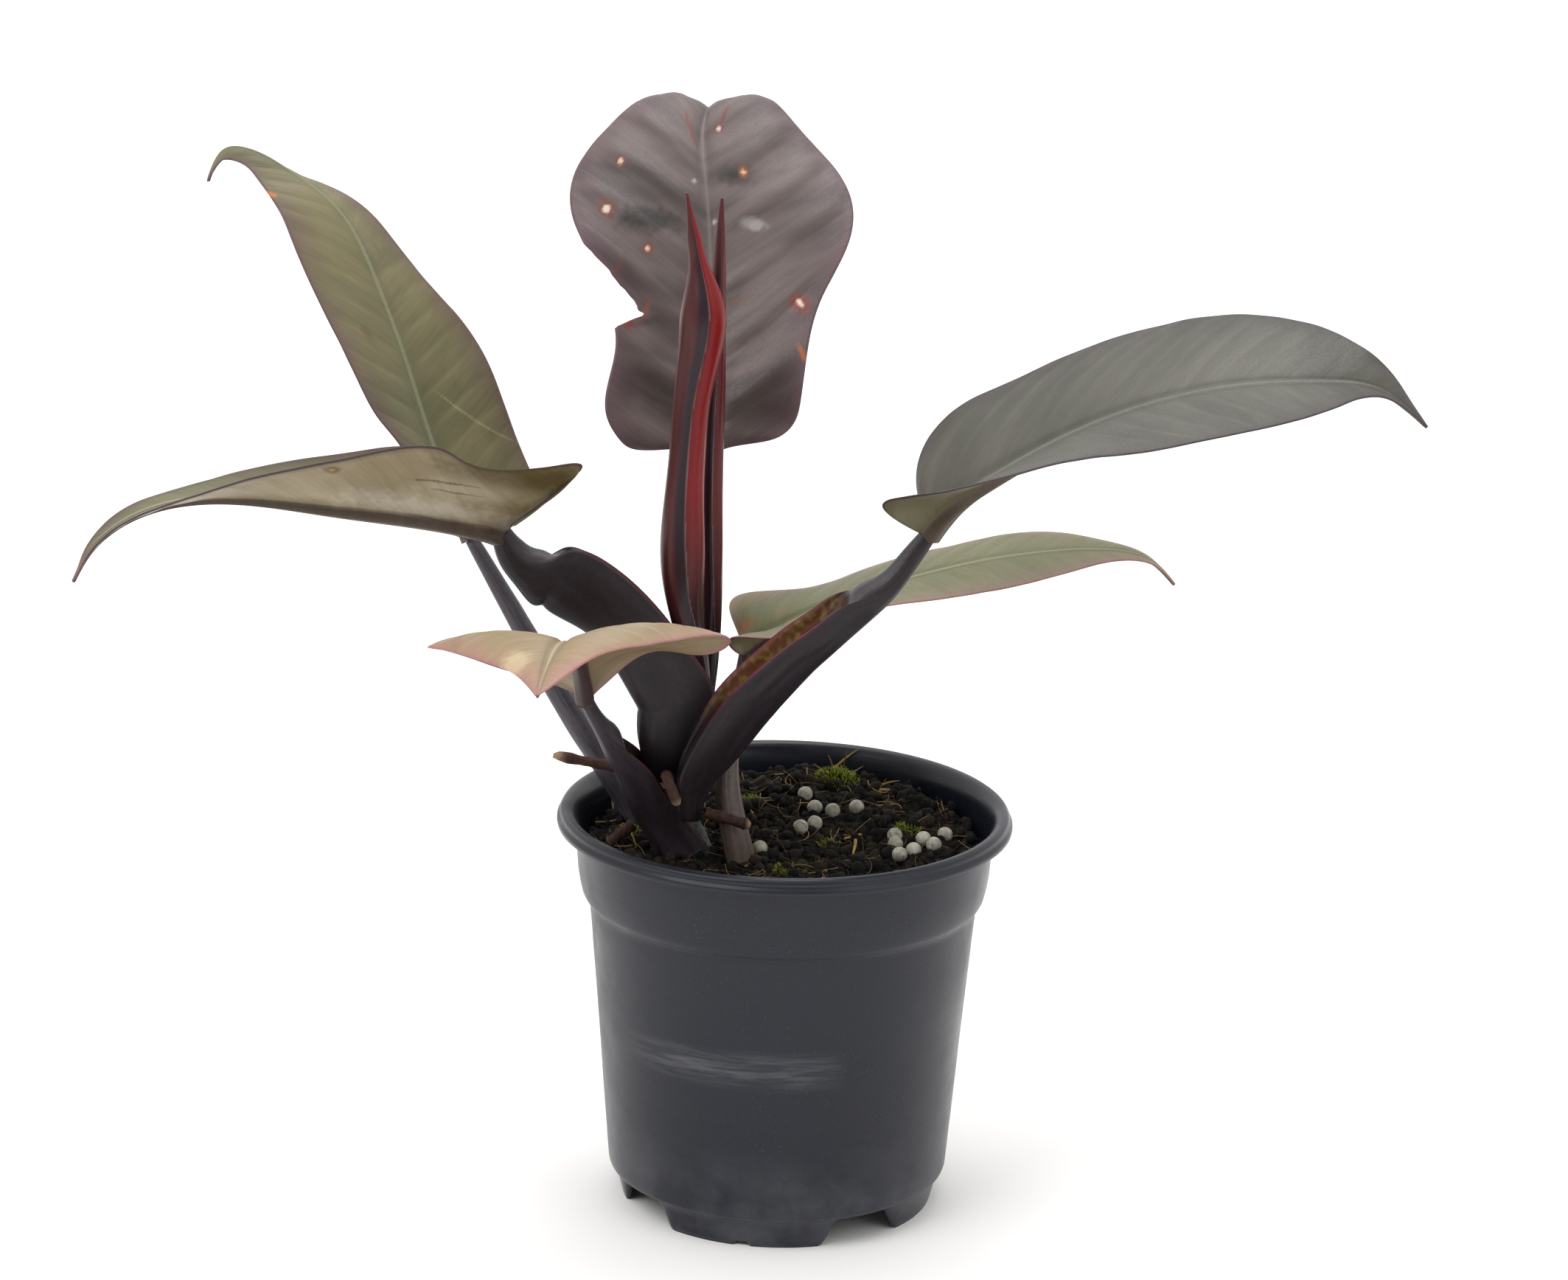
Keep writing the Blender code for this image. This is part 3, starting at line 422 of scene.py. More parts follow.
# Blades. Spine points start from the joint with the stalk. A row is the share of the midrib, then for the
# left half and the right half: width, rise above the midrib's level and sweep forward along it. Each half
# also has a curl, or one for each row. Angles are in degrees.
BLADES = {
    "back": {
        "heading": 95, "joint": (-20.6, 22, 102.2), "stalk_radius": 1.9, "ripple": 0.5,
        "spine": (
            (0, 0, 0), (-0.6, 3, 9), (-1.4, 10, 23), (-2, 18, 37), (-3.2, 29, 53), (-5, 42, 66), (-6, 54, 74),
            (-5, 68, 78.5), (-5.3, 86, 71.5),
        ),
        "curl": (
            (8, 8, 8, 8, 8, 4, -10, -30, -50, -60, -50, 0),
            (10, 10, 10, 10, 10, 6, -8, -25, -45, -60, -50, 0),
        ),
        "rows": (
            (0, 1.5, 5, 0, 1.5, 5, 0), (0.03, 19, 3, -10, 14, 19, -10), (0.06, 25.5, 3, -10, 20, 18, -12),
            (0.12, 29, 3, -9, 24, 18, -12), (0.24, 25.8, 5, -6, 27, 19, -2), (0.38, 32.3, 8, 3, 34, 16, -5),
            (0.5, 36.7, 3, 4, 38.5, 8, -8), (0.62, 33.6, -3, 11, 36.6, 0, -4),
            (0.72, 24.7, -2, 18, 28, -1, 10), (0.82, 15.6, 4, 30, 18.5, 5, 28), (0.93, 8.6, 0, 34, 10, 0, 34),
            (1, 4.0, 0, 34, 4.2, 0, 34),
        ),
    },
    "upper_left": {
        "heading": 165, "joint": (-84.6, 25, 75.5), "stalk_radius": 1.9, "curl": (-10, 15),
        "spine": (
            (0, 0, 0), (-3.6, 1, 8), (-11, 4, 25), (-18.2, 8, 45.7), (-26.7, 12.5, 67), (-37.3, 16.5, 85),
            (-50, 19, 94.2), (-60.7, 20, 99.4), (-65.9, 20, 99.6), (-71.2, 20, 90.7),
        ),
        "rows": (
            (0, 1.5, 0, 0, 1.5, 30, 0), (0.03, 9, -15, 10, 15, 44, -22), (0.1, 14.8, -11, 28, 25, 40, -23),
            (0.24, 18.5, -13, 14, 27.6, 32, -21), (0.45, 21.3, -22, 10, 24.6, 27, -22),
            (0.63, 19.9, -26, 21, 17.5, 9, -28), (0.78, 11.5, -20, 40, 9.9, -3, -37),
            (0.87, 6.2, -30, 36, 7.4, -18, -50), (0.95, 4, -30, 34, 4.6, -18, -40),
            (1, 0.5, -20, 30, 0.5, -10, -30),
        ),
    },
    "lower_left": {
        "heading": 187, "joint": (-74.8, -6, 85.4), "stalk_radius": 2.2, "curl": (20, 45),
        "spine": (
            (0, 0, 0), (-7.6, -0.5, 2), (-22.7, -1.5, 4.5), (-43.3, -3.5, 7), (-62.8, -6, 9.6),
            (-82.2, -9, 9.1), (-96, -11.5, 4), (-105.3, -13.5, -5), (-108.4, -14, -11.3),
        ),
        "rows": (
            (0, 1.5, 44, -30, 1.5, 39, -20), (0.03, 29, 48, -60, 16, 30, -26),
            (0.08, 31, 47, -40, 23, 28, -8), (0.2, 29.8, 50, -20, 25.5, 31, 2),
            (0.37, 24.5, 47, -7, 24, 22, -3), (0.54, 18, 32, 4, 22.3, 6, -1), (0.7, 12.2, 12, 13, 16, -3, 10),
            (0.83, 7.6, 2, 40, 10, 1, 32), (0.94, 4.2, 0, 34, 5.4, 0, 32), (1, 0.5, 0, 30, 0.5, 0, 30),
        ),
    },
    "front": {
        "heading": 264, "joint": (-52, -20, 46), "stalk_radius": 2.0, "curl": (-45, -45),
        "spine": (
            (0, 0, 0), (-0.7, -7, 8), (-1.6, -17, 16.4), (-3.2, -30, 23.5), (-5, -44, 26.6),
            (-6.5, -62, 26.8), (-7.9, -80, 25),
        ),
        "rows": (
            (0, 1.5, 30, 0, 1.5, 20, 0), (0.07, 12.5, 30, 6, 14, 6, 2), (0.19, 27, 13, -4, 27, 0, 1),
            (0.35, 39.8, 7, -10, 36.5, -3, 1), (0.51, 34.4, 5, -14, 29.8, -7, -3),
            (0.7, 20.5, 6, -11, 16.1, -10, -3), (0.86, 9.5, 14, -12, 6.4, -10, -4),
            (1, 0.5, 10, -10, 0.5, -10, 0),
        ),
    },
    "right": {
        "heading": -8, "joint": (34.9, -12, 89.5), "stalk_radius": 2.2, "curl": (-12, 10),
        "spine": (
            (0, 0, 0), (5.6, -0.5, 7.7), (16.5, -2, 16.7), (34.7, -5, 28.5), (54.6, -8, 37.7),
            (76.4, -10, 43.5), (96.5, -12, 45.4), (111.2, -13, 44.1), (124, -13, 34.7),
        ),
        "rows": (
            (0, 1.5, 30, 0, 1.5, 40, -20), (0.04, 16.6, 33, -4, 16.5, 44, -26),
            (0.1, 29.9, 31, -2, 28.5, 27, -18), (0.2, 37.2, 23, 0, 34.3, 9, -2), (0.35, 40, 18, 2, 36, 0, 3),
            (0.52, 38.9, 18, 4, 35.3, -8, 0), (0.68, 32, 21, -1, 28.4, -10, 2),
            (0.81, 20.3, 26, 0, 15.1, -10, 3), (0.91, 8.2, 30, -15, 4.5, 0, 2), (1, 0.5, 10, 0, 0.5, 0, 0),
        ),
    },
    "lower_right": {
        "heading": 15, "joint": (-11.3, 14, 49.2), "stalk_radius": 1.9, "curl": (-10, 0),
        "spine": (
            (0, 0, 0), (7.3, 2, 4.9), (20.7, 6, 11.8), (39, 11, 17.3), (60.5, 16.5, 22), (81.5, 21.5, 24.1),
            (99.4, 25, 23.6), (107.6, 27, 20.8), (114.5, 28, 13.9),
        ),
        "rows": (
            (0, 1.5, 20, 0, 1.5, 20, -40), (0.04, 16.2, 23, -7, 13, 34, -48),
            (0.14, 20.6, 4, 4, 20.8, 12, -30), (0.3, 23.9, -5, 10, 22.6, 5, -24),
            (0.48, 23.2, -4, 15, 21.1, -4, -20), (0.66, 17, 3, 16, 16.7, -11, -16),
            (0.8, 8.3, 6, 12, 8.2, -16, -14), (1, 0.5, 0, 0, 0.5, -10, 0),
        ),
    },
}

# Tears in a margin: side (1 left, -1 right), then where it starts, is deepest and ends along the midrib, in
# millimetres, and how deep it is.
TEARS = {"back": ((1, 33.9, 36.6, 53, 8.6),)}
# Marks on a blade: their place along the midrib and left of it, half length and half width in millimetres,
# turn, colour, strength and softness, then "under" or "both" for one that isn't on the upper side alone.
MARKS = {
    "back": (
        (61.8, 16.4, 3.6, 7.5, 0, "14110d", 0.9, 0.7), (77, -8.1, 2.6, 5, 0, "1a1613", 0.75, 0.8),
        (70, 14, 2.2, 9, 0, "2a2421", 0.45, 0.9), (93.4, 4, 5.6, 0.5, 21, "6e2a22", 0.75, 0.5),
        (97, -5.9, 3.8, 0.5, -19, "6e2a22", 0.7, 0.5), (93.5, -4.6, 1.5, 1.3, 0, "6e3028", 0.7, 0.4),
        (93.5, -4.6, 0.7, 0.6, 0, "c9b9a4", 0.9, 0.3), (78.3, -10.2, 1.6, 1.3, 0, "8a4a26", 0.8, 0.4),
        (78.3, -10.2, 0.6, 0.6, 0, "d2bd9c", 0.9, 0.3), (64.3, 27.3, 2.3, 2.1, 0, "6b3327", 0.8, 0.4),
        (64.3, 27.3, 1.1, 1.0, 0, "d0c2aa", 0.9, 0.3), (53.4, 16.9, 1.6, 1.4, 0, "70342a", 0.75, 0.4),
        (53.4, 16.9, 0.7, 0.6, 0, "cdb99c", 0.9, 0.3), (78.3, 22.5, 1.6, 1.3, 0, "70342a", 0.75, 0.4),
        (78.3, 22.5, 0.7, 0.6, 0, "cdb99c", 0.9, 0.3), (38, -24, 3.0, 2.2, 35, "7a2f24", 0.8, 0.5),
        (38, -24, 1.6, 0.5, 35, "dccdb2", 0.95, 0.3), (25.9, -24.6, 2.4, 0.7, 30, "a45a26", 0.8, 0.4),
        (34.7, 22.3, 1.2, 1.1, 0, "7a2a20", 0.8, 0.4), (62.5, -12.2, 1.6, 2.8, 0, "a19d98", 0.5, 0.5),
        (40.2, -7.5, 1.2, 2.4, 20, "5d3c2c", 0.6, 0.5),
        (37.5, 17.6, 2.6, 0.8, -20, "7a4028", 0.6, 0.6, "both"),
        (45, 26.5, 7, 0.6, -31, "5e3426", 0.6, 0.6, "both"), (75.1, 3.2, 0.7, 0.6, 0, "b6b2ac", 0.6, 0.4),
        (63.1, -1.5, 0.7, 0.6, 0, "b6b2ac", 0.6, 0.4),
    ),
    "upper_left": (
        (101, 14, 1.4, 1.0, 0, "b06a28", 0.85, 0.3), (35.1, -16.6, 12.5, 0.35, 52, "9a9672", 0.6, 0.4),
        (58, 11, 2.6, 1.4, 20, "5e4a30", 0.5, 0.6), (84, -7, 1.6, 1.0, 0, "6a5236", 0.5, 0.5),
    ),
    "lower_left": (
        (116, 0, 9, 14, 0, "6b3a35", 0.55, 0.7, "both"), (24, 6, 20, 4.5, 0, "b0a796", 0.65, 0.8, "under"),
        (10, 27, 14, 5.5, 0, "463919", 0.8, 0.8, "under"), (0.5, 6, 4, 7, 0, "382f24", 0.75, 0.8, "under"),
        (16, 17, 9, 4, -10, "a79c86", 0.45, 0.8, "under"),
        (47.3, 19.7, 1.7, 1.3, 0, "3d2a1c", 0.7, 0.6, "both"),
        (47.3, 19.7, 0.6, 0.45, 0, "b0782a", 0.85, 0.4, "both"),
        (22, 18.5, 7.5, 0.35, -8, "33271b", 0.85, 0.4, "under"),
        (18, 15.5, 5, 0.3, -6, "33271b", 0.7, 0.4, "under"),
    ),
    "front": (
        (19.5, -12.4, 6, 4.2, 20, "c2ad88", 0.6, 0.7), (18.1, 14.4, 4.4, 3.4, 0, "9a6a5c", 0.55, 0.7),
        (9.9, 6.8, 3.4, 2.4, 0, "7a573e", 0.6, 0.6), (69.2, -7.9, 6, 3, 0, "cdbb98", 0.55, 0.7),
        (45, -27, 5, 1.6, 0, "8d6650", 0.5, 0.6),
    ),
    "lower_right": (
        (4.9, 8.4, 3.0, 2.2, 0, "84522a", 0.7, 0.5), (14.3, 7, 2.2, 1.4, 30, "8c6038", 0.5, 0.6),
        (60, 12, 2.0, 1.2, 0, "8a5a34", 0.5, 0.6),
    ),
}

# How far a blade's midrib stands out above, as a share of its half width.
RIB_RELIEF = {"back": 0.12, "upper_left": 0.08, "right": 0.15, "lower_right": 0.15}
# How strongly painted light and shade, in bands along the side veins, stands for a blade's waves between
# them.
PAINTED_VEIN_SHADING = {"back": 0.55, "upper_left": 0.25, "right": 0.3}

# What each blade is painted with: the two colours its upper side wanders between, the tint along its side
# veins, its midrib above, the painted shade in the groove beside the midrib, and its margin; then the same
# for its underside.
LEAF_COLOURS = {
    "back": (
        "625553", "3a302d", "6b5f5c", "675d5b", "4a403e", "5b444a", "8a7a68", "766a52", "5a4540", "4a2f3a",
    ),
    "upper_left": (
        "716a4b", "5a593c", "8a8766", "7d8266", "515238", "5f454a", "8d7468", "7b6657", "5a4540", "3a2232",
    ),
    "lower_left": (
        "5f6042", "6d6846", "80805d", "98977a", "45432d", "4a3038", "8f8266", "75674a", "33241b", "3c2d2e",
    ),
    "front": (
        "8f8266", "9c8569", "aca184", "b9b092", "7c6c56", "9a6a66", "8c7d66", "7c684c", "2c1c26", "93646a",
    ),
    "right": (
        "55534a", "43423a", "67665b", "6a6b60", "3b3b33", "33252a", "5c573d", "4b462e", "4a3c30", "33252a",
    ),
    "lower_right": (
        "6f6e4b", "656543", "838263", "909174", "545635", "927068", "837b5d", "6e6648", "56423d", "7d4e56",
    ),
}


def half_blade(leaf, side, shares, steps):
    """Half a blade as offsets from its midrib. A row is an arc of width w, rise f and curl c. Its point at
    share v lies r = w v sinc(c v / 2) / sinc(c / 2) out, at the angle f + c (v - 1) / 2 above level, and the
    whole row is swept forward. Returns level and height of each point, the sweep and the width."""
    table = np.array(leaf["rows"], float)
    half = 0 if side > 0 else 1
    curls = np.broadcast_to(leaf["curl"][half], len(table))
    values = np.column_stack((table[:, 1 + 3 * half:4 + 3 * half], curls))
    width, rise, sweep, curl = smooth(table[:, 0], values, shares).T
    width = np.maximum(width, 0.35)
    rise, sweep, curl = np.radians(rise), np.radians(sweep), np.radians(curl)
    share = np.broadcast_to(steps, (len(shares), len(steps)))
    bend = curl[:, None]
    reach = width[:, None] * share * np.sinc(bend * share / TURN) / np.sinc(bend / TURN)
    angle = rise[:, None] + bend * (share - 1) / 2
    return reach * np.cos(angle), reach * np.sin(angle), sweep, width


def blade_form(name, rows, half_columns):
    """A blade's middle surface, from half_blade on both sides of its spine. Returns its grid, the spine's up
    direction, and at each point the distance along the midrib, the signed distance from it, the width of
    that half and the share of the midrib."""
    leaf = BLADES[name]
    shares = np.linspace(0, 1, rows) ** 1.3
    steps = np.linspace(0, 1, half_columns) ** 0.92
    spine = route(np.asarray(leaf["spine"], float) + above_mix(leaf["joint"]), shares)
    along, left, up = directions(spine, leaf["heading"])
    distance = distances(spine)
    halves, laterals, widths = [], [], []
    for side in (1, -1):
        level, lift, sweep, width = half_blade(leaf, side, shares, steps)
        torn = 1 - tear(name, side, distance) / width
        level, lift, width = level * torn[:, None], lift * torn[:, None], width * torn
        outward = np.cos(sweep)[:, None] * side * left + np.sin(sweep)[:, None] * along
        halves.append(spine[:, None] + level[..., None] * outward[:, None] + lift[..., None] * up[:, None])
        laterals.append(side * width[:, None] * steps)
        widths.append(np.repeat(width[:, None], half_columns, axis=1))
    middle, lateral, width = (
        np.concatenate((pair[0][:, ::-1], pair[1][:, 1:]), axis=1) for pair in (halves, laterals, widths)
    )
    run = np.repeat(distance[:, None], middle.shape[1], axis=1)
    share = np.repeat(shares[:, None], middle.shape[1], axis=1)
    return middle, up, run, lateral, width, share


def tear(name, side, distance):
    """How deep a half blade's margin is bitten at each distance along the midrib: straight slopes from the
    two ends of each tear to its deepest point, roughened."""
    depth = np.zeros_like(distance)
    for on_side, start, deepest, end, most in TEARS.get(name, ()):
        if on_side == side:
            cut = np.interp(distance, (start, deepest, end), (0, most, 0))
            ragged = noise(flat(distance, 0 * distance), 1.1, 8)
            depth = np.maximum(depth, cut * (1 + 0.12 * ragged))
    return depth


def blade(settings, name, rows=230, half_columns=70):
    """A leaf blade, as a closed shell round blade_form. The upper side is lifted between the side veins by
    relief * (1 - (2 q - 1)^2), where q is the place between two veins, and along the midrib. The underside
    has a rib that thins out from the stalk's radius to the tip."""
    leaf = BLADES[name]
    middle, up, run, lateral, width, share = blade_form(name, rows, half_columns)
    out = np.abs(lateral)
    inset = np.maximum(width - out, 0)
    spacing = settings.vein_spacing / MM
    place = (run - 0.55 * out - 0.006 * out**2) / spacing + np.where(lateral > 0, 0.0, 0.37)
    place = place + 0.22 * noise(middle, 30, 9)
    between = place - np.floor(place)
    vein = np.minimum(between, 1 - between) * spacing
    normal = normals_of(middle)
    if (normal[rows // 2, half_columns] @ up[rows // 2]) < 0:
        normal = -normal
    swell = settings.vein_relief / MM * (1 - (2 * between - 1) ** 2) * step(inset, 0, 4) * step(out, 0.5, 4)
    ripple = leaf.get("ripple", 0) * np.cos(TURN * (place / 2 + 0.2)) * step(out, 1, 9) * step(inset, 0, 9)
    wave = 0.3 * noise(middle, 16, 3) + 0.16 * noise(middle, 6.5, 4)
    wave = wave * step(inset, 9, 0) * step(share, 0, 0.06) + ripple
    rib = leaf["stalk_radius"] * (1 - share) ** 0.8 + 0.25
    groove = RIB_RELIEF.get(name, 0.25) * rib
    above = groove * band(out, 0, 0.35 * rib) - groove * band(out, 1.0 * rib, 0.6 * rib)
    below = 1.25 * rib * np.exp(-((out / (0.8 * rib)) ** 4))
    half = settings.leaf_thickness / MM / 2 * np.sqrt(np.clip(inset / 0.5, 0.02, 1))
    upper = middle + normal * (half + swell + wave + above)[..., None]
    lower = middle + normal * (-half + swell + wave - below)[..., None]
    columns = middle.shape[1]
    tints = paint_blade(name, run, lateral, out, inset, vein, rib, middle)
    count = rows * columns
    index = np.arange(count).reshape(rows, columns)
    edge = np.concatenate((index[0], index[1:, -1], index[-1, -2::-1], index[-2:0:-1, 0]))
    beside = np.roll(edge, -1)
    rim = np.stack((edge, beside, beside + count, edge + count), axis=1)
    faces = [grid_faces(rows, columns), grid_faces(rows, columns)[:, ::-1] + count, rim]
    weave = flat(run - 0.8 * out, 0.7 * lateral).reshape(-1, 3) * MM
    piece = write_mesh(
        f"leaf_{name}", np.concatenate((upper.reshape(-1, 3), lower.reshape(-1, 3))), faces,
        leaf_material(name), np.concatenate([tint.reshape(-1, 3) for tint in tints]), np.tile(weave, (2, 1)),
    )
    return fit(piece, f"blade_{name}", f"blade_{name}")


def paint_blade(name, run, lateral, out, inset, vein, rib, points):
    """The colours of a blade's upper side and underside at each grid point: two greens or browns mixed by
    noise and by painted light and shade in bands along the side veins, paler lines along the side veins, the
    midrib with painted shade in the groove beside it, the margin, and its marks."""
    first, second, streak, rib_top, painted_groove_shade, margin, under, under_second, rib_under, under_margin = map(
        linear, LEAF_COLOURS[name]
    )
    slant = flat(run - 0.6 * out, 0.35 * lateral)
    cloud = 0.5 + 0.45 * noise(points, 24, 5) + 0.35 * noise(slant, 7, 2)
    fine = noise(points, 4, 6)
    # painted light and shade: bands along the side veins stand for the blade's waves, mixed into its two
    # colours
    shading_arcs = flat(run - 0.5 * out + 0.004 * out**2, 0.12 * lateral)
    cloud = cloud + PAINTED_VEIN_SHADING.get(name, 0) * (noise(shading_arcs, 6, 21) + 0.5 * noise(shading_arcs, 2.6, 22))
    lines = band(vein, 0, 0.8) * step(out, 1, 8) * step(inset, 1, 10) * (0.5 + 0.5 * noise(points, 14, 1))
    upper = layered(
        first, (second, cloud + 0.12 * fine), (streak, 0.35 * lines),
        # painted shade: a darker band beside the midrib stands for the shade in its groove, as strong as the
        # groove is deep
        (painted_groove_shade, 2 * RIB_RELIEF.get(name, 0.25) * band(out, 1.3 * rib, 1.1 * rib)),
        (rib_top, 0.75 * step(out, 0.55 * rib, 0.25 * rib)),
        (margin, (0.3 + 0.3 * noise(points, 11, 33)) * step(inset, 11, 0.5)),
        (margin, 0.35 * step(inset, 3.2, 0.3) + 0.5 * step(inset, 0.7, 0.35)),
    )
    lower = layered(
        under, (under_second, 0.5 + 0.5 * noise(points, 17, 7) + 0.2 * fine), (under_second, 0.3 * lines),
        (under_margin, 0.4 * step(inset, 2.6, 0.3) + 0.6 * step(inset, 0.8, 0.35)),
    )
    speck = noise(points, 1.3, 31)
    for place, across, long, wide, turn, code, strength, soft, *side in MARKS.get(name, ()):
        angle = math.radians(turn)
        ahead = (run - place) * math.cos(angle) + (lateral - across) * math.sin(angle)
        aside = (lateral - across) * math.cos(angle) - (run - place) * math.sin(angle)
        reach = np.hypot(ahead / long, aside / wide) + 0.25 * soft * fine + 0.3 * speck
        share_of = strength * step(reach, 1 + soft, 1 - soft)
        if side != ["under"]:
            upper = layered(upper, (code, share_of))
        if side:
            lower = layered(lower, (code, share_of))
    return upper, layered(lower, (rib_under, 0.9 * step(out, 1.3 * rib, 0.9 * rib)))


def leaf_material(name):
    """Leather-like leaf: the painted tint with fine vein and pore relief and a soft gloss."""
    made, tree, shader = new_material(f"blade_{name}", 0.42, Specular_IOR_Level=0.33)
    weave = attribute(tree, "weave", "Vector")
    pores = grain(tree, object_place(tree), 1600, 2)
    strands = grain(tree, stretched(tree, weave, (900, 130, 1)), 1.0, 2)
    shade = ranged(tree, strands, 0.3, 0.7, 0.91, 1.08)
    paint(tree, shader, shade)
    tree.links.new(ranged(tree, pores, 0.3, 0.7, 0.36, 0.52), shader.inputs["Roughness"])
    under = raised(tree, shader, strands, 0.00012, 0.5)
    raised(tree, shader, pores, 0.00005, 0.4, under)
    return made


# Stalks: points along each, and rows of the share of its length, half width, depth and hollow (see stalk()).
STALKS = {
    "back": {
        "heading": 95, "roll": 0,
        "points": (
            (-26, 15, 8), (-23.5, 17, 32), (-21, 18.5, 58), (-20.8, 20.5, 82), (-20.6, 22, 102.2),
        ),
        "section": (
            (0, 3.2, 3.0, -0.6), (0.3, 3.0, 2.8, -0.8), (0.7, 2.6, 2.5, -0.9), (1, 1.9, 1.8, -1),
        ),
    },
    "upper_left": {
        "heading": 165, "roll": 0, "skin": "403c42",
        "points": (
            (-35, 14, -6), (-43, 15.5, 9.5), (-50, 17, 20), (-61, 19.5, 36.5), (-70.3, 22, 51.7),
            (-84.6, 25, 75.5),
        ),
        "section": (
            (0, 4, 3.8, -0.5), (0.4, 4, 3.8, -0.7), (0.6, 3.5, 3.4, -0.8), (0.8, 2.8, 2.7, -0.9),
            (1, 1.9, 1.8, -1),
        ),
    },
    "lower_left": {
        "heading": 187, "roll": 12,
        "points": (
            (-28, -0.5, 19), (-22.5, -0.5, 31), (-21.2, -0.5, 45), (-24.9, -0.5, 51.5), (-32.2, -0.5, 61.7),
            (-40, -0.5, 70.7), (-46.5, -0.5, 76.2), (-52.9, -0.8, 80), (-56.9, -1.2, 81), (-62.3, -2.6, 78.4),
            (-67.8, -4, 77), (-71.8, -5, 79.7), (-74.8, -6, 85.4),
        ),
        "section": (
            (0, 4.5, 10, 0.6), (0.07, 5.6, 14, 0.7), (0.13, 6.3, 17.5, 0.78), (0.27, 6.6, 19.5, 0.82),
            (0.46, 6.6, 17.9, 0.82), (0.58, 6.6, 17.5, 0.8), (0.66, 6.2, 18.4, 0.76), (0.73, 5.8, 18.4, 0.62),
            (0.77, 5.4, 16.8, 0.25), (0.835, 4.7, 12.6, -0.12), (0.89, 4.0, 6.6, -0.7), (0.94, 3.5, 4.5, -1),
            (1, 2.6, 3.0, -1),
        ),
    },
    "front": {
        # painted light: this skin is lighter than the other stalks' colour, to lift the shade falling on its
        # lower part among the stalks
        "heading": 190, "roll": 0, "skin": "2d262b",
        "points": (
            (-15, -3, -9), (-21.5, -3.2, 3.8), (-31, -4, 16), (-36.8, -8, 26), (-46.5, -15, 35.8),
            (-52, -20, 46),
        ),
        "section": (
            (0, 7.5, 14.5, 0.8), (0.2, 6.9, 12.7, 0.78), (0.4, 6.2, 11, 0.78), (0.58, 5.4, 8.8, 0.65),
            (0.72, 4.0, 5.8, 0.1), (0.82, 3.0, 3.1, -0.9), (1, 2.0, 1.9, -1),
        ),
    },
    "right": {
        "heading": -8, "roll": 12, "inside": "6a3f28", "specks": "837a3a", "edge": "6e2434",
        "points": (
            (-27, -14, 13), (-28, -14, 23.5), (-24.8, -14, 32.7), (-17.7, -14, 45.7), (-7.7, -14, 56.2),
            (0.6, -14, 63.4), (6.7, -14, 67.9), (12.1, -13.9, 72), (18, -13.7, 73.8), (24.3, -13.2, 76.2),
            (30.3, -12.5, 83.1), (34.9, -12, 89.5),
        ),
        "section": (
            (0, 4.2, 5, 0.4), (0.1, 5, 9.1, 0.5), (0.19, 5.8, 12, 0.7), (0.33, 6.4, 14.3, 0.8),
            (0.47, 6.4, 13.2, 0.82), (0.58, 6.4, 11.7, 0.8), (0.65, 6, 10.6, 0.7), (0.715, 5.2, 9.8, 0.3),
            (0.775, 4.4, 6.9, -0.3), (0.84, 3.6, 3.9, -0.85), (0.925, 2.8, 2.8, -1), (1, 2.2, 2.2, -1),
        ),
    },
    "lower_right": {
        "heading": 15, "roll": 0, "skin": "4f433b",
        "points": (
            (-10.6, -12.5, -8), (-13.8, -12, 6), (-16, -6, 18), (-15.2, 2, 30), (-12.8, 9.5, 41),
            (-11.3, 14, 49.2),
        ),
        "section": (
            (0, 3.0, 5.6, -0.45), (0.3, 3.0, 4.8, -0.5), (0.7, 2.7, 2.7, -0.8), (1, 1.9, 1.8, -1),
        ),
    },
}


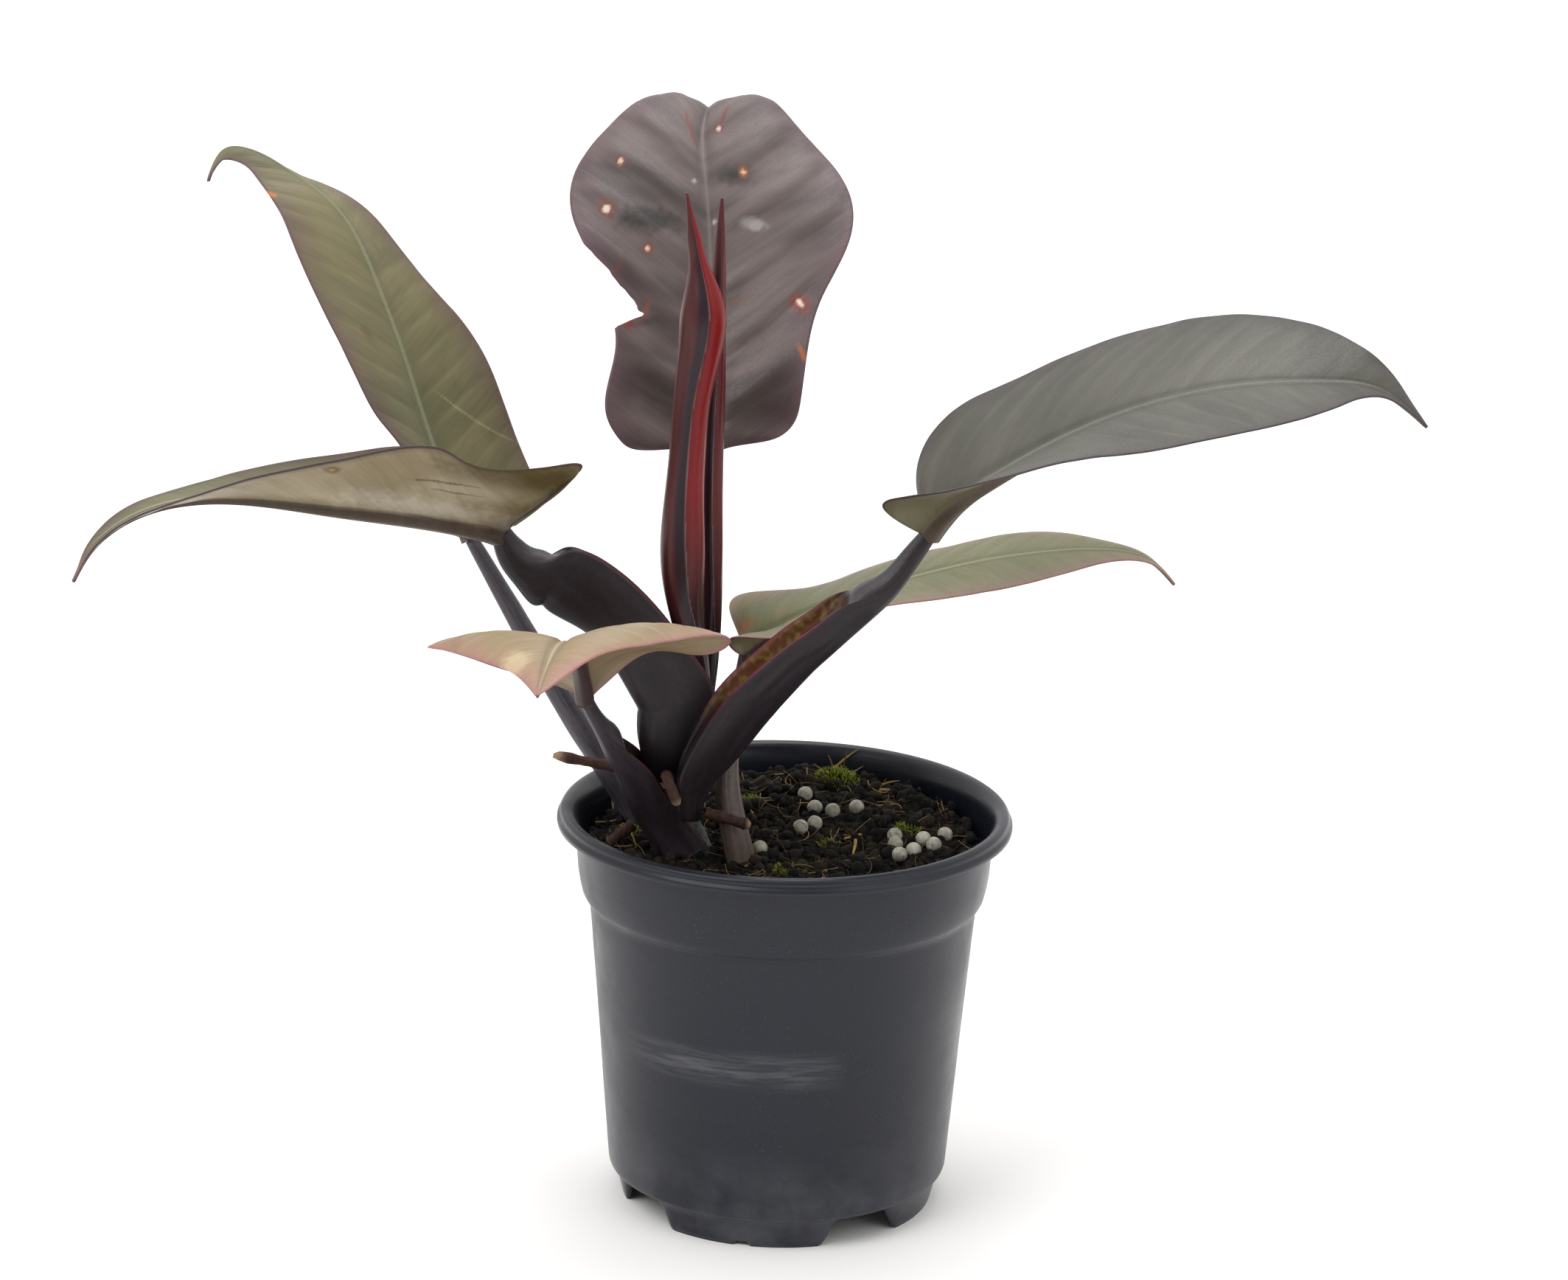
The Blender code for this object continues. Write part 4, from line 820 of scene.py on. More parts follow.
def stalk(settings, name, rows=190, sides=96):
    """A leaf stalk with its sheath. Round the section, at angle t, the outer side bulges by depth * sin t
    away from up, and the inner side follows it at hollow times that, across half_width * cos t. Where hollow
    is -1 the section is a whole ellipse."""
    data = STALKS[name]
    shares = np.linspace(0, 1, rows)
    path = route(above_mix(data["points"]), shares)
    up = directions(path, data["heading"], data["roll"])[2]
    table = np.array(data["section"], float)
    half_width, depth, hollow = smooth(table[:, 0], table[:, 1:], shares).T
    hollow = np.clip(hollow, -1, 0.88)[:, None]
    centre = path - ((1 + np.minimum(hollow, 0)) * depth[:, None] / 2) * up
    weight = band(shares[:, None], shares[None, :], 0.09)
    centre = weight @ centre / weight.sum(axis=1, keepdims=True)
    _, left, up = directions(centre, data["heading"], data["roll"])
    turn = circle(sides)[None, :]
    inner = np.sin(turn) < 0
    wing = np.clip(hollow, 0, 1)
    across = np.cos(turn) * (half_width[:, None] - np.where(inner, 0.9 * wing, 0))
    bulge = np.sin(turn) * depth[:, None]
    bulge = np.where(inner, -bulge * hollow, bulge)
    grid = path[:, None] + across[..., None] * left[:, None] - bulge[..., None] * up[:, None]
    grid[-1] += (above_mix(BLADES[name]["joint"]) - grid[-1].mean(axis=0)) * 0.5
    run = np.repeat((shares * np.linalg.norm(np.diff(path, axis=0), axis=1).sum())[:, None], sides, axis=1)
    around = np.repeat(turn * 3.0, rows, axis=0)
    normal = -normals_of(grid, wrap=True)
    crease = noise(flat(around * 2.2, run / 9), 1.0, 11)
    grid = grid + normal * (0.16 * crease * np.clip(depth[:, None] / 6, 0.15, 1))[..., None]
    dark = np.array(linear(data["skin"]) if "skin" in data else settings.stalk_colour)
    red = np.array(linear(data["edge"]) if "edge" in data else settings.stalk_red)
    wings = wing * band(np.abs(np.sin(turn)) * depth[:, None], 0, 0.55)
    inside = wing * inner * step(shares, 0.2, 0.4)[:, None] * np.ones_like(run)
    specks = step(noise(grid, 1.1, 12), -0.1, 0.5)
    tint = layered(
        dark, (1.5 * dark + 0.004, 0.5 + 0.5 * crease),
        # painted highlight: the upward-facing side of the stalk is painted a lighter grey, as if lit from
        # above
        ("5a5659", 0.5 * step(normal[..., 2], 0.05, 0.9) * (1 - inside)),
        (data.get("inside", "3a2a28"), 0.9 * inside), (data.get("specks", "4d4330"), 0.55 * specks * inside),
        (red, 0.8 * wings * step(shares, 0.15, 0.4)[:, None]),
    )
    piece = write_tube(f"stalk_{name}", grid, stalk_material(), tint, flat(run, around))
    return fit(piece, "petiole", f"petiole_{name}")


def stalk_material():
    """Dark stalk skin: the painted tint with fine lengthwise ridges and a soft sheen."""
    made, tree, shader = new_material("stalk skin", 0.4, Specular_IOR_Level=0.24)
    weave = attribute(tree, "weave", "Vector")
    ridges = grain(tree, stretched(tree, weave, (60, 1500, 1)), 1.0, 2)
    specks = grain(tree, object_place(tree), 700, 3, 0.6)
    shade = ranged(tree, math_node(tree, "ADD", ridges, specks), 0.6, 1.4, 0.75, 1.3)
    paint(tree, shader, shade)
    under = raised(tree, shader, ridges, 0.00015, 0.5)
    raised(tree, shader, specks, 0.0001, 0.35, under)
    return made


# Round pieces: points as in STALKS, and (share of the length, half width).
NEW_LEAVES = {
    "front": (((-25, 0, 28), (-23.5, 0, 46), (-26.5, 0, 63), (-27.8, 0, 77), (-27.9, 0, 90), (-27.1, 0, 108),
               (-25.8, 0, 124), (-24.3, 0, 134), (-23.6, 0, 143), (-24.3, 0, 150.6), (-25.4, 0, 157),
               (-26.5, 0, 163), (-28.6, 0, 174.5)),
              ((0, 2.6), (0.12, 3.4), (0.24, 4.6), (0.335, 6.0), (0.42, 5.7), (0.545, 4.9), (0.655, 5.2),
               (0.725, 6.0), (0.785, 6.2), (0.835, 4.4), (0.88, 2.5), (0.92, 1.9), (0.955, 1.0), (1, 0.35))),
    "behind": (((-24, 10, 23), (-21, 10, 50), (-21, 10, 90), (-20.5, 10, 130), (-19.8, 10, 171.5)),
               ((0, 2.8), (0.3, 3.1), (0.6, 3.0), (0.85, 1.9), (0.94, 1.1), (1, 0.35))),
}
STEM = (((-16, -3, -26), (-22.2, -3, -3), (-26.6, -3, 8), (-30.5, -2.5, 17)),
        ((0, 4.6), (0.55, 4.3), (0.85, 3.8), (1, 3.0)))
ROOTS = (((-33, 4, 18), (-42, 4.5, 19.5), (-52, 5, 21), (-61.5, 5, 22.6)),
         ((-30.8, -10, 22), (-30.6, -17, 24), (-27.7, -20, 17.8)),
         ((-20.6, -17, 15), (-15.6, -17.4, 13.8), (-8.9, -17.7, 12)),
         ((-39.8, -2, 6.4), (-43, -2.5, 3.8), (-46.6, -3, 1.3)))


def rod(points, widths, rows, sides, heading=0.0):
    """A round tube's grid: circles of the given half widths along a smooth path. Returns the grid, the angle
    round it, the distance along it and its outward normals."""
    shares = np.linspace(0, 1, rows)
    path = route(above_mix(points), shares)
    _, left, up = directions(path, heading)
    table = np.array(widths, float)
    half = smooth(table[:, 0], table[:, 1], shares)
    turn = circle(sides)[None, :]
    out = np.cos(turn)[..., None] * left[:, None] + np.sin(turn)[..., None] * up[:, None]
    grid = path[:, None] + half[..., None] * out
    run = distances(path)
    return grid, np.repeat(turn, rows, axis=0), np.repeat(run[:, None], sides, axis=1), out


def new_leaf(settings, name, rows=260, sides=120):
    """A rolled new leaf: a rod whose radius grows once round it by a step, as a rolled sheet's does, with the
    sheet's edge winding slowly along the length."""
    points, widths = NEW_LEAVES[name]
    grid, turn, run, out = rod(points, widths, rows, sides, 90)
    share = run / run.max()
    path = grid.mean(axis=1, keepdims=True)
    half = np.linalg.norm(grid - path, axis=-1)
    edge = 1.75 + 0.12 * np.sin(9 * share) + 0.5 * step(share, 0.3, 0.12)
    round_it = np.mod(turn - edge, TURN) / TURN
    grid = path + out * (half * (0.86 + 0.2 * round_it))[..., None]
    crease = noise(flat(turn * 2.5, run / 14), 1.0, 21)
    grid = grid + out * (0.12 * crease)[..., None]
    rolled = 1.0 if name == "front" else 0.3
    tint = layered(
        settings.spear_colour, ("1d1720", 0.85 * step(round_it, 0.9, 0.94) * step(share, 1.0, 0.8)),
        ("1c1216", 0.7 * step(share, 0.36, 0.2)),
        (settings.spear_red, rolled * step(round_it, 0.4, 0.3) * step(share, 0.25, 0.5)),
        ("8a6a62", 0.6 * step(round_it, 0.985, 0.997) + 0.5 * band(round_it, 0.735, 0.008)),
    )
    piece = write_tube(f"rolled_leaf_{name}", grid, spear_material(), tint, flat(run, turn * 4))
    return fit(piece, "new_leaf", f"new_leaf_{name}")


def spear_material():
    """Glossy young leaf: the painted tint with faint lengthwise veins."""
    made, tree, shader = new_material("rolled leaf skin", 0.34, Specular_IOR_Level=0.28)
    ridges = grain(tree, stretched(tree, attribute(tree, "weave", "Vector"), (50, 1100, 1)), 1.0, 2)
    shade = ranged(tree, ridges, 0.3, 0.7, 0.82, 1.16)
    paint(tree, shader, shade)
    raised(tree, shader, ridges, 0.00012, 0.5)
    return made


def rough_rod(name, points, widths, rows, sides, roughness, tint_of, made_of, heading):
    """A rod with its skin pushed in and out by noise, and painted by tint_of(share, bumps)."""
    grid, _, run, out = rod(points, widths, rows, sides, heading)
    share = run / run.max()
    bumps = 0.6 * noise(grid, 1.6, 31) + 0.4 * noise(grid, 0.7, 32)
    grid = grid + out * (roughness * bumps)[..., None]
    return write_tube(name, grid, made_of, tint_of(share, bumps))


def bark_material(name, roughness, scale, depth):
    """Woody skin: the painted tint, mottled and pitted."""
    made, tree, shader = new_material(name, roughness, Specular_IOR_Level=0.3)
    specks = grain(tree, object_place(tree), scale, 4, 0.65)
    shade = ranged(tree, specks, 0.3, 0.7, 0.6, 1.4)
    paint(tree, shader, shade)
    raised(tree, shader, specks, depth, 0.7)
    return made


def stem(settings):
    """The stem: a rough rod, dark at its foot and grey with bloom above, with a ring scar at each node."""
    def tint_of(share, bumps):
        return layered(
            settings.stem_colour, ("3c3b35", 0.5 + 0.5 * bumps), ("2b2620", step(share, 0.55, 0.35))
        )

    made = bark_material("stem skin", 0.6, 500, 0.0002)
    piece = rough_rod("stem_skin", *STEM, 120, 60, 0.25, tint_of, made, 180)
    return fit(piece, "stem", "stem")


def roots(settings):
    """The aerial roots: rough brown rods with paler tips."""
    def tint_of(share, bumps):
        return layered(
            settings.root_colour, ("2c1b18", 0.5 + 0.5 * bumps), ("a58a6c", 0.8 * step(share, 0.86, 1.0))
        )

    made = bark_material("root skin", 0.75, 900, 0.0003)
    widths = ((0, 1.5), (0.5, 1.45), (0.8, 1.4), (0.95, 1.2), (1, 0.6))
    for number, points in enumerate(ROOTS, 1):
        heading = 180 if number in (1, 4) else -90
        piece = rough_rod(f"root_{number}", points, widths, 60, 28, 0.3, tint_of, made, heading)
        fit(piece, "aerial_root", f"aerial_root_{number}")


# The mix and what lies on it. Places are shares of the mix's radius: right of and behind the pot's axis.
PRILLS = (
    (0.1, 0.58), (0.15, 0.45), (0.24, 0.36), (0.36, 0.38), (0.08, 0.11), (0.15, 0.18), (0.55, 0.09),
    (0.55, -0.04), (0.57, -0.17), (0.64, -0.12), (0.69, 0.02), (0.74, -0.05), (0.8, 0.11), (-0.12, -0.13),
)
# Moss: its place, then the radius and height of each clump.
MOSS = (
    (0.63, 0.26, 4.0, 2.2), (0.22, 0.04, 3.0, 1.8), (-0.17, 0.52, 3.5, 1.6), (0.26, 0.82, 5.5, 4.5),
    (-0.78, 0.12, 3.5, 1.6), (0.02, -0.26, 5.0, 1.8),
)
SLIVERS = (
    ((0.48, 0.74), (0.64, 0.7), 1.0), ((0.0, -0.08), (0.22, -0.16), 0.6), ((0.36, 0.06), (0.33, -0.15), 0.6),
)
PRILL_RADIUS = 2.05


def mix_level(x, y):
    """The mix's own level at millimetres from the pot's axis: a slope to the front with low waves on it."""
    waves = np.sin(0.21 * x + 0.9) * np.cos(0.17 * y - 0.4) + np.sin(0.13 * x - 0.19 * y + 2.1)
    return MIX_LEVEL + MIX_TILT * y + 0.6 * waves


def crumbled(x, y):
    """The mix's level with its crumbs: the slope, plus ridged noise at three widths of crumb."""
    place = flat(x, y)
    lumps = 1.5 * (1 - 2 * np.abs(noise(place, 5.2, 41))) + 0.9 * (1 - 2 * np.abs(noise(place, 2.4, 42)))
    return mix_level(x, y) + 0.8 * lumps + 0.4 * noise(place, 1.1, 43)


MIX_EDGE_DROP, MIX_EDGE_WIDTH = 2.0, 2.5   # how far the mix's surface sinks at its edge, and over what width
MIX_WALL_DEPTH, MIX_WALL_GAP = 86, 0.4     # depth of its wall, and the wall's gap from the pot


def potting_mix(settings):
    """The root ball: a disc whose height is crumbled(), with a wall that follows the inside of the pot."""
    rings, sides = 130, 360
    turn = circle(sides)
    shares = np.concatenate((np.linspace(0.004, 1, rings), np.full(12, 1.0)))
    depth = np.concatenate((np.zeros(rings), np.linspace(2, MIX_WALL_DEPTH, 12)))
    inside = np.array(POT_INSIDE[::-1])
    below = MIX_LEVEL - MIX_EDGE_DROP - depth
    wall = np.interp(below, inside[:, 1], inside[:, 0]) - MIX_WALL_GAP
    radius = np.where(depth > 0, np.minimum(wall, MIX_RADIUS), shares * MIX_RADIUS)
    x, y = radius[:, None] * np.cos(turn), radius[:, None] * np.sin(turn)
    height = crumbled(x, y) - MIX_EDGE_DROP * step(radius[:, None], MIX_RADIUS - MIX_EDGE_WIDTH, MIX_RADIUS)
    height = np.where(depth[:, None] > 0, below[:, None], height)
    grid = from_axis(np.stack((x, y, height), axis=-1))
    tint = layered(
        settings.mix_colour, ("0d0b09", 0.5 + 0.5 * noise(grid, 2.4, 45)),
        ("2b241b", 0.7 * step(noise(grid, 1.3, 44), 0.55, 0.85)),
    )
    made = bark_material("potting mix", 0.95, 1400, 0.0005)
    fit(write_tube("mix_surface", grid, made, tint), "potting_mix", "potting_mix")
    crumbs(settings, made)


def ball(rows, sides):
    """Unit directions over a sphere in rows of latitude, with its poles after the grid."""
    tilt = np.pi * (np.arange(rows) + 1) / (rows + 1)
    turn = circle(sides)
    grid = np.stack((
        np.sin(tilt)[:, None] * np.cos(turn), np.sin(tilt)[:, None] * np.sin(turn),
        np.repeat(np.cos(tilt)[:, None], sides, axis=1),
    ), axis=-1)
    points = np.concatenate((grid.reshape(-1, 3), [(0, 0, 1), (0, 0, -1)]))
    return points, tube_faces(rows, sides)


def write_many(name, points, faces, made_of, tint):
    """One mesh of many copies of a shape, from the points of each copy, the faces of one, and a colour for
    each copy or for each of its points."""
    count, size = points.shape[:2]
    shift = (np.arange(count) * size)[:, None, None]
    faces = [(part[None] + shift).reshape(-1, part.shape[1]) for part in faces]
    return write_mesh(name, points, faces, made_of, np.broadcast_to(tint.reshape(count, -1, 3), points.shape))


def spread(count, seed, outer=0.97):
    """Places over the mix, evenly by area, from a seeded generator."""
    random = np.random.default_rng(seed)
    radius = MIX_RADIUS * np.sqrt(random.uniform(0, outer**2, count))
    turn = random.uniform(0, TURN, count)
    return radius * np.cos(turn), radius * np.sin(turn), random


CRUMBS = 2600


def crumbs(settings, made):
    """Loose crumbs of peat and bark: lumpy balls, half sunk, from a seeded spread."""
    x, y, random = spread(CRUMBS, 7)
    shape, faces = ball(4, 6)
    size = settings.crumb_size / MM / 2 * random.uniform(0.25, 1.0, CRUMBS) ** 1.5
    stretch = size[:, None] * random.uniform(0.6, 1.35, (CRUMBS, 3))
    centres = from_axis(np.stack((x, y, crumbled(x, y) + 0.2 * size), axis=-1))
    points = centres[:, None] + shape[None] * stretch[:, None]
    points = points + 0.35 * size[:, None, None] * shape[None] * noise(points, 1.5, 51)[..., None]
    shades = np.array([linear(code) for code in ("100e0b", "0b0a08", "17130f", "1a1511", "2a2219", "0c0b09")])
    tint = shades[random.integers(0, len(shades), CRUMBS)]
    fit(write_many("mix_crumbs", points, faces, made, tint), "potting_mix")


def strands(count, seed, length, width, lift, rows=7):
    """Thin curved rods lying on the mix, each a triangle in section, from a seeded spread. Returns the points
    of each, the faces of one, and the generator."""
    x, y, random = spread(count, seed, outer=0.93)
    heading = random.uniform(0, TURN, count)
    bend = random.uniform(-1.2, 1.2, count)
    reach = length * random.uniform(0.4, 1.0, count)
    share = np.linspace(-0.5, 0.5, rows)
    turn = heading[:, None] + bend[:, None] * share
    px = x[:, None] + reach[:, None] * share * np.cos(turn)
    py = y[:, None] + reach[:, None] * share * np.sin(turn)
    limit = np.minimum(1, 0.96 * MIX_RADIUS / np.maximum(np.hypot(px, py), 1e-6))
    px, py = px * limit, py * limit
    rise = random.uniform(-1, 1, count)[:, None] * share * lift + 0.8
    path = from_axis(np.stack((px, py, mix_level(px, py) + 1.0 + np.abs(rise)), axis=-1))
    along = unit(np.gradient(path, axis=1))
    side = np.cross(along, (0, 0, 1.0))
    up = np.cross(side, along)
    corner = circle(3)[None, None, :, None]
    half = width / 2 * random.uniform(0.5, 1.2, count)[:, None, None, None]
    out = np.cos(corner) * side[:, :, None] + np.sin(corner) * up[:, :, None]
    grid = path[:, :, None] + half * out
    points = np.concatenate((grid.reshape(count, -1, 3), path[:, :1], path[:, -1:]), axis=1)
    return points, tube_faces(rows, 3), random


# Straws that lean or stand: both ends as in STALKS, and the half width.
LOOSE_STRAWS = (
    ((18.8, 5.6, 1.2), (17.8, -9.3, 1), 0.5), ((-43.4, 11.8, 2), (-38.9, -4.7, 1), 0.45),
    ((-47.4, 30.1, 4.5), (-46, 14.9, 2.5), 0.4), ((11.6, 51.8, 4), (19.7, 51.9, 11.5), 0.4),
    ((13, 48, 3), (11.5, 49, 10.5), 0.3), ((14.4, 48, 3), (16.5, 47, 12.5), 0.32),
    ((15.5, 47.5, 3), (21, 46, 8.5), 0.3), ((12.5, 47, 3), (7.5, 48, 8), 0.3),
    ((33, 14, 1), (39, 15, 5.5), 0.3), ((24, 42, 3), (31, 40, 6.5), 0.35), ((-9, 27, 2), (-3, 25, 5), 0.3),
    ((1, -13, -1), (8, -17, 0.6), 0.35), ((28, -20, -1.5), (36, -24, 0.5), 0.3),
)


def litter(settings):
    """Fibres, straw and three larger slivers lying on the mix."""
    straw = np.array(settings.straw_colour)
    made = bark_material("straw", 0.75, 900, 0.0001)
    shades = np.array([straw, 0.35 * straw, 0.6 * straw, linear("3b2c1c"), linear("5e4a2e")])
    for name, count, seed, length, width, lift in (
        ("fibres", 240, 61, 14, 0.22, 5), ("straws", 46, 62, 11, 0.7, 3),
    ):
        points, faces, random = strands(count, seed, length, width, lift)
        tint = shades[random.integers(0, len(shades), count)]
        fit(write_many(f"mix_{name}", points, faces, made, tint), "sliver")
    rods = []
    for first, last, half in LOOSE_STRAWS:
        middle = np.mean((first, last), axis=0) + (0.4, 0, 0.8)
        grid = rod((first, middle, last), ((0, half), (0.6, 0.8 * half), (1, 0.25 * half)), 10, 6)[0]
        rods.append(with_poles(grid))
    tint = shades[np.arange(len(rods)) % 3 * 2]
    fit(write_many("mix_loose_straws", np.array(rods), tube_faces(10, 6), made, tint), "sliver")
    for number, (first, last, half) in enumerate(SLIVERS, 1):
        ends = MIX_RADIUS * np.array((first, last))
        shares = np.linspace(0, 1, 24)
        x, y = (ends[0] + shares[:, None] * (ends[1] - ends[0])).T
        level = mix_level(x, y) + 0.5 * half + 0.5 + 0.2 * np.sin(9 * shares)
        path = from_axis(np.stack((x, y, level), axis=-1))
        heading = math.degrees(math.atan2(*(ends[1] - ends[0])[::-1]))
        _, left, up = directions(path, heading)
        turn = circle(16)
        wide = half * (0.35 + 0.65 * np.sin(np.pi * np.clip(shares + 0.08, 0, 1)) ** 0.6)
        wide = wide[:, None] * (1 + 0.15 * noise(path, 1.2, 63)[:, None])
        grid = path[:, None] + (wide * np.cos(turn))[..., None] * left[:, None]
        grid = grid + (0.45 * half * np.sin(turn))[None, :, None] * up[:, None]
        tint = layered(straw, (0.45 * straw, 0.5 + 0.5 * noise(grid * (1, 1, 3), 0.9, 64)))
        fit(write_tube(f"straw_{number}", grid, made, tint), "sliver", f"sliver_{number}")


LEAFLET_WIDTH = 0.22
LEAFLET_SHADES = (0.4, 0.4, 0.4, 1, 1, 1, 0.3, 1.25)   # three low corners, three above, foot and tip


def moss(settings):
    """Clumps of moss: a low mound under small leaning leaflets, each a thin three sided spike."""
    made = bark_material("moss", 0.85, 1500, 0.0001)
    random = np.random.default_rng(71)
    for number, (right, back, radius, height) in enumerate(MOSS, 1):
        count = int(16 * radius**2)
        reach = radius * np.sqrt(random.uniform(0, 1, count))
        turn = random.uniform(0, TURN, count)
        x = right * MIX_RADIUS + reach * np.cos(turn)
        y = back * MIX_RADIUS + reach * np.sin(turn)
        mound = height * 0.6 * np.sqrt(np.clip(1 - (reach / radius) ** 2, 0, 1))
        foot = from_axis(np.stack((x, y, mix_level(x, y) + mound), axis=-1))
        lean = flat(np.cos(turn), np.sin(turn)) * (0.3 + 0.5 * reach / radius)[:, None]
        lean = unit(lean + random.uniform(-0.45, 0.45, (count, 3)) + (0, 0, 1.0))
        tall = random.uniform(0.8, 1.9, count)[:, None] * (0.6 + 0.12 * height)
        side = unit(np.cross(lean, random.uniform(-1, 1, (count, 3))))
        third = np.cross(lean, side)
        corners = [side, -0.5 * side + 0.87 * third, -0.5 * side - 0.87 * third]
        low = np.stack([foot - 0.6 * lean + 0.7 * LEAFLET_WIDTH * corner for corner in corners], axis=1)
        middle = np.stack([foot + 0.45 * tall * lean + LEAFLET_WIDTH * corner for corner in corners], axis=1)
        ends = (foot - 0.7 * lean)[:, None], (foot + tall * lean)[:, None]
        points = np.concatenate((low, middle, *ends), axis=1)
        shade = layered(
            settings.moss_colour, ("3a4312", random.uniform(0, 1, count)),
            ("a8a534", 0.7 * random.uniform(0, 1, count) ** 3),
        )
        tint = shade[:, None] * np.array(LEAFLET_SHADES)[:, None]
        piece = write_many(f"moss_clump_{number}", points, tube_faces(2, 3), made, tint)
        fit(piece, "moss", f"moss_{number}")


def prills(settings):
    """Fertiliser prills: balls pushed in and out a little by noise, with small dark dimples."""
    made, tree, shader = new_material("prill", 0.55, Specular_IOR_Level=0.35)
    specks = grain(tree, object_place(tree), 900, 3, 0.6)
    shade = ranged(tree, specks, 0.35, 0.65, 0.7, 1.1)
    paint(tree, shader, shade)
    raised(tree, shader, specks, 0.00015, 0.5)
    shape, faces = ball(30, 40)
    for number, (right, back) in enumerate(PRILLS, 1):
        x, y = right * MIX_RADIUS, back * MIX_RADIUS
        centre = from_axis((x, y, float(mix_level(x, y)) + PRILL_RADIUS + 0.4))
        bumps = noise(shape + number * 7, 0.7, 81)
        dimple = step(noise(shape + number * 3, 0.42, 82), 0.5, 0.8)
        points = centre + shape * (PRILL_RADIUS * (1 + 0.035 * bumps - 0.03 * dimple))[:, None]
        worn = 0.5 + 0.5 * noise(shape + number, 0.8, 83)
        tint = layered(settings.prill_colour, ("8d8a78", worn), ("5b5647", 0.75 * dimple))
        piece = write_mesh(f"prill_ball_{number}", points, faces, made, tint)
        fit(piece, "prill", f"prill_{number:02d}")


# Pot
POT_OUTSIDE = (
    (41.5, 0), (42.5, 4), (43.5, 7.6), (44.2, 8.2), (44.9, 8.7), (45.2, 9.6), (46.4, 24), (48.6, 52),
    (50.9, 79.5), (51.1, 82.4), (51.6, 83.4), (52.6, 84.2), (53.2, 85.4), (53.8, 88), (54.3, 91),
    (55.0, 100.6), (55.0, 102.0), (55.5, 102.9), (57.5, 103.1), (59.3, 103.2), (59.9, 103.5), (60.0, 104.1),
    (59.95, 104.9), (59.2, 105.3), (59.1, 105.8), (59.3, 106.4), (58.9, 107.1), (58.2, 107.6), (57.2, 107.55),
    (56.3, 107.2), (55.4, 106.2), (54.4, 104.2), (53.9, 101),
)
POT_INSIDE = (
    (53.6, 98), (53.1, 91), (52.4, 87), (51.2, 84.4), (50.1, 82.6), (49.8, 79.5), (47.5, 52), (45.2, 24),
    (44.0, 9.4), (43.6, 8.9), (42.3, 8.4),
)
POT_FOOT = ((42.0, 7.6), (41.3, 4), (40.4, 0))
FOOT_TURN = -12                          # the turn of one foot's middle, in degrees from the front
WALL_SPACING, WALL_SIDES = 1.5, 432      # between points along the section, and points round the wall
UNDER_FLOOR = 7.9                        # wall below this height is squeezed upwards in the gaps between feet
GAP_LIFT, GAP_SLOPE = 7.7, (17.4, 8.5)   # how far, and between which degrees from a gap's middle
NICK_LIFT, NICK_SLOPE = 1.1, (3.1, 2.4)  # the same for the small nick in the middle of that foot
POT_FLOOR = (43.2, 7.75, 9.0, 96)        # radius, underside, top and sides of the floor
DRAINS, DRAIN_RADIUS = 9, 4.0            # one hole in the middle and eight round it
DRAIN_RING, DRAIN_TURN = 30.0, 16.65     # how far the eight lie from the middle, and their turn in degrees


def closer(points, spacing):
    """More points along a run of straight pieces, about spacing apart, keeping its own corners."""
    points = np.asarray(points, float)
    made = [points[:1]]
    for first, last in zip(points[:-1], points[1:]):
        count = max(1, int(round(float(np.linalg.norm(last - first)) / spacing)))
        made.append(first + (last - first) * (np.arange(count) + 1)[:, None] / count)
    return np.concatenate(made)


def pot(settings):
    """The pot's wall, a closed section turned round the axis. Where the ground shows between the four feet,
    heights from 0 to UNDER_FLOOR are squeezed into lift to UNDER_FLOOR."""
    section = closer(POT_OUTSIDE + POT_INSIDE + POT_FOOT, WALL_SPACING)
    turn = 360 * np.arange(WALL_SIDES) / WALL_SIDES
    from_gap = 45 - np.abs((turn - FOOT_TURN + 45) % 90 - 45)
    from_nick = np.abs((turn - FOOT_TURN + 180) % 360 - 180)
    lift = np.maximum(GAP_LIFT * step(from_gap, *GAP_SLOPE), NICK_LIFT * step(from_nick, *NICK_SLOPE))
    height = section[:, 1:]
    squeezed = lift + height * (UNDER_FLOOR - lift) / UNDER_FLOOR
    height = np.where(height < UNDER_FLOOR, squeezed, height + 0 * lift)
    angle = np.radians(turn)
    ring = 0.05 * noise(flat(section[:, 1], 0 * section[:, 1]), 3.1, 91)[:, None]
    radius = section[:, :1] + ring + 0 * angle
    grid = from_axis(np.stack((radius * np.sin(angle), -radius * np.cos(angle), height), axis=-1))
    last = (len(section) - 1) * WALL_SIDES + np.arange(WALL_SIDES)
    first = np.arange(WALL_SIDES)
    join = np.stack((last, np.roll(last, -1), np.roll(first, -1), first), axis=1)
    made = pot_material(settings)
    faces = [grid_faces(len(section), WALL_SIDES, wrap=True), join]
    fit(write_mesh("pot_wall", grid, faces, made), "pot", "pot")
    fit(pot_floor(made), "pot")


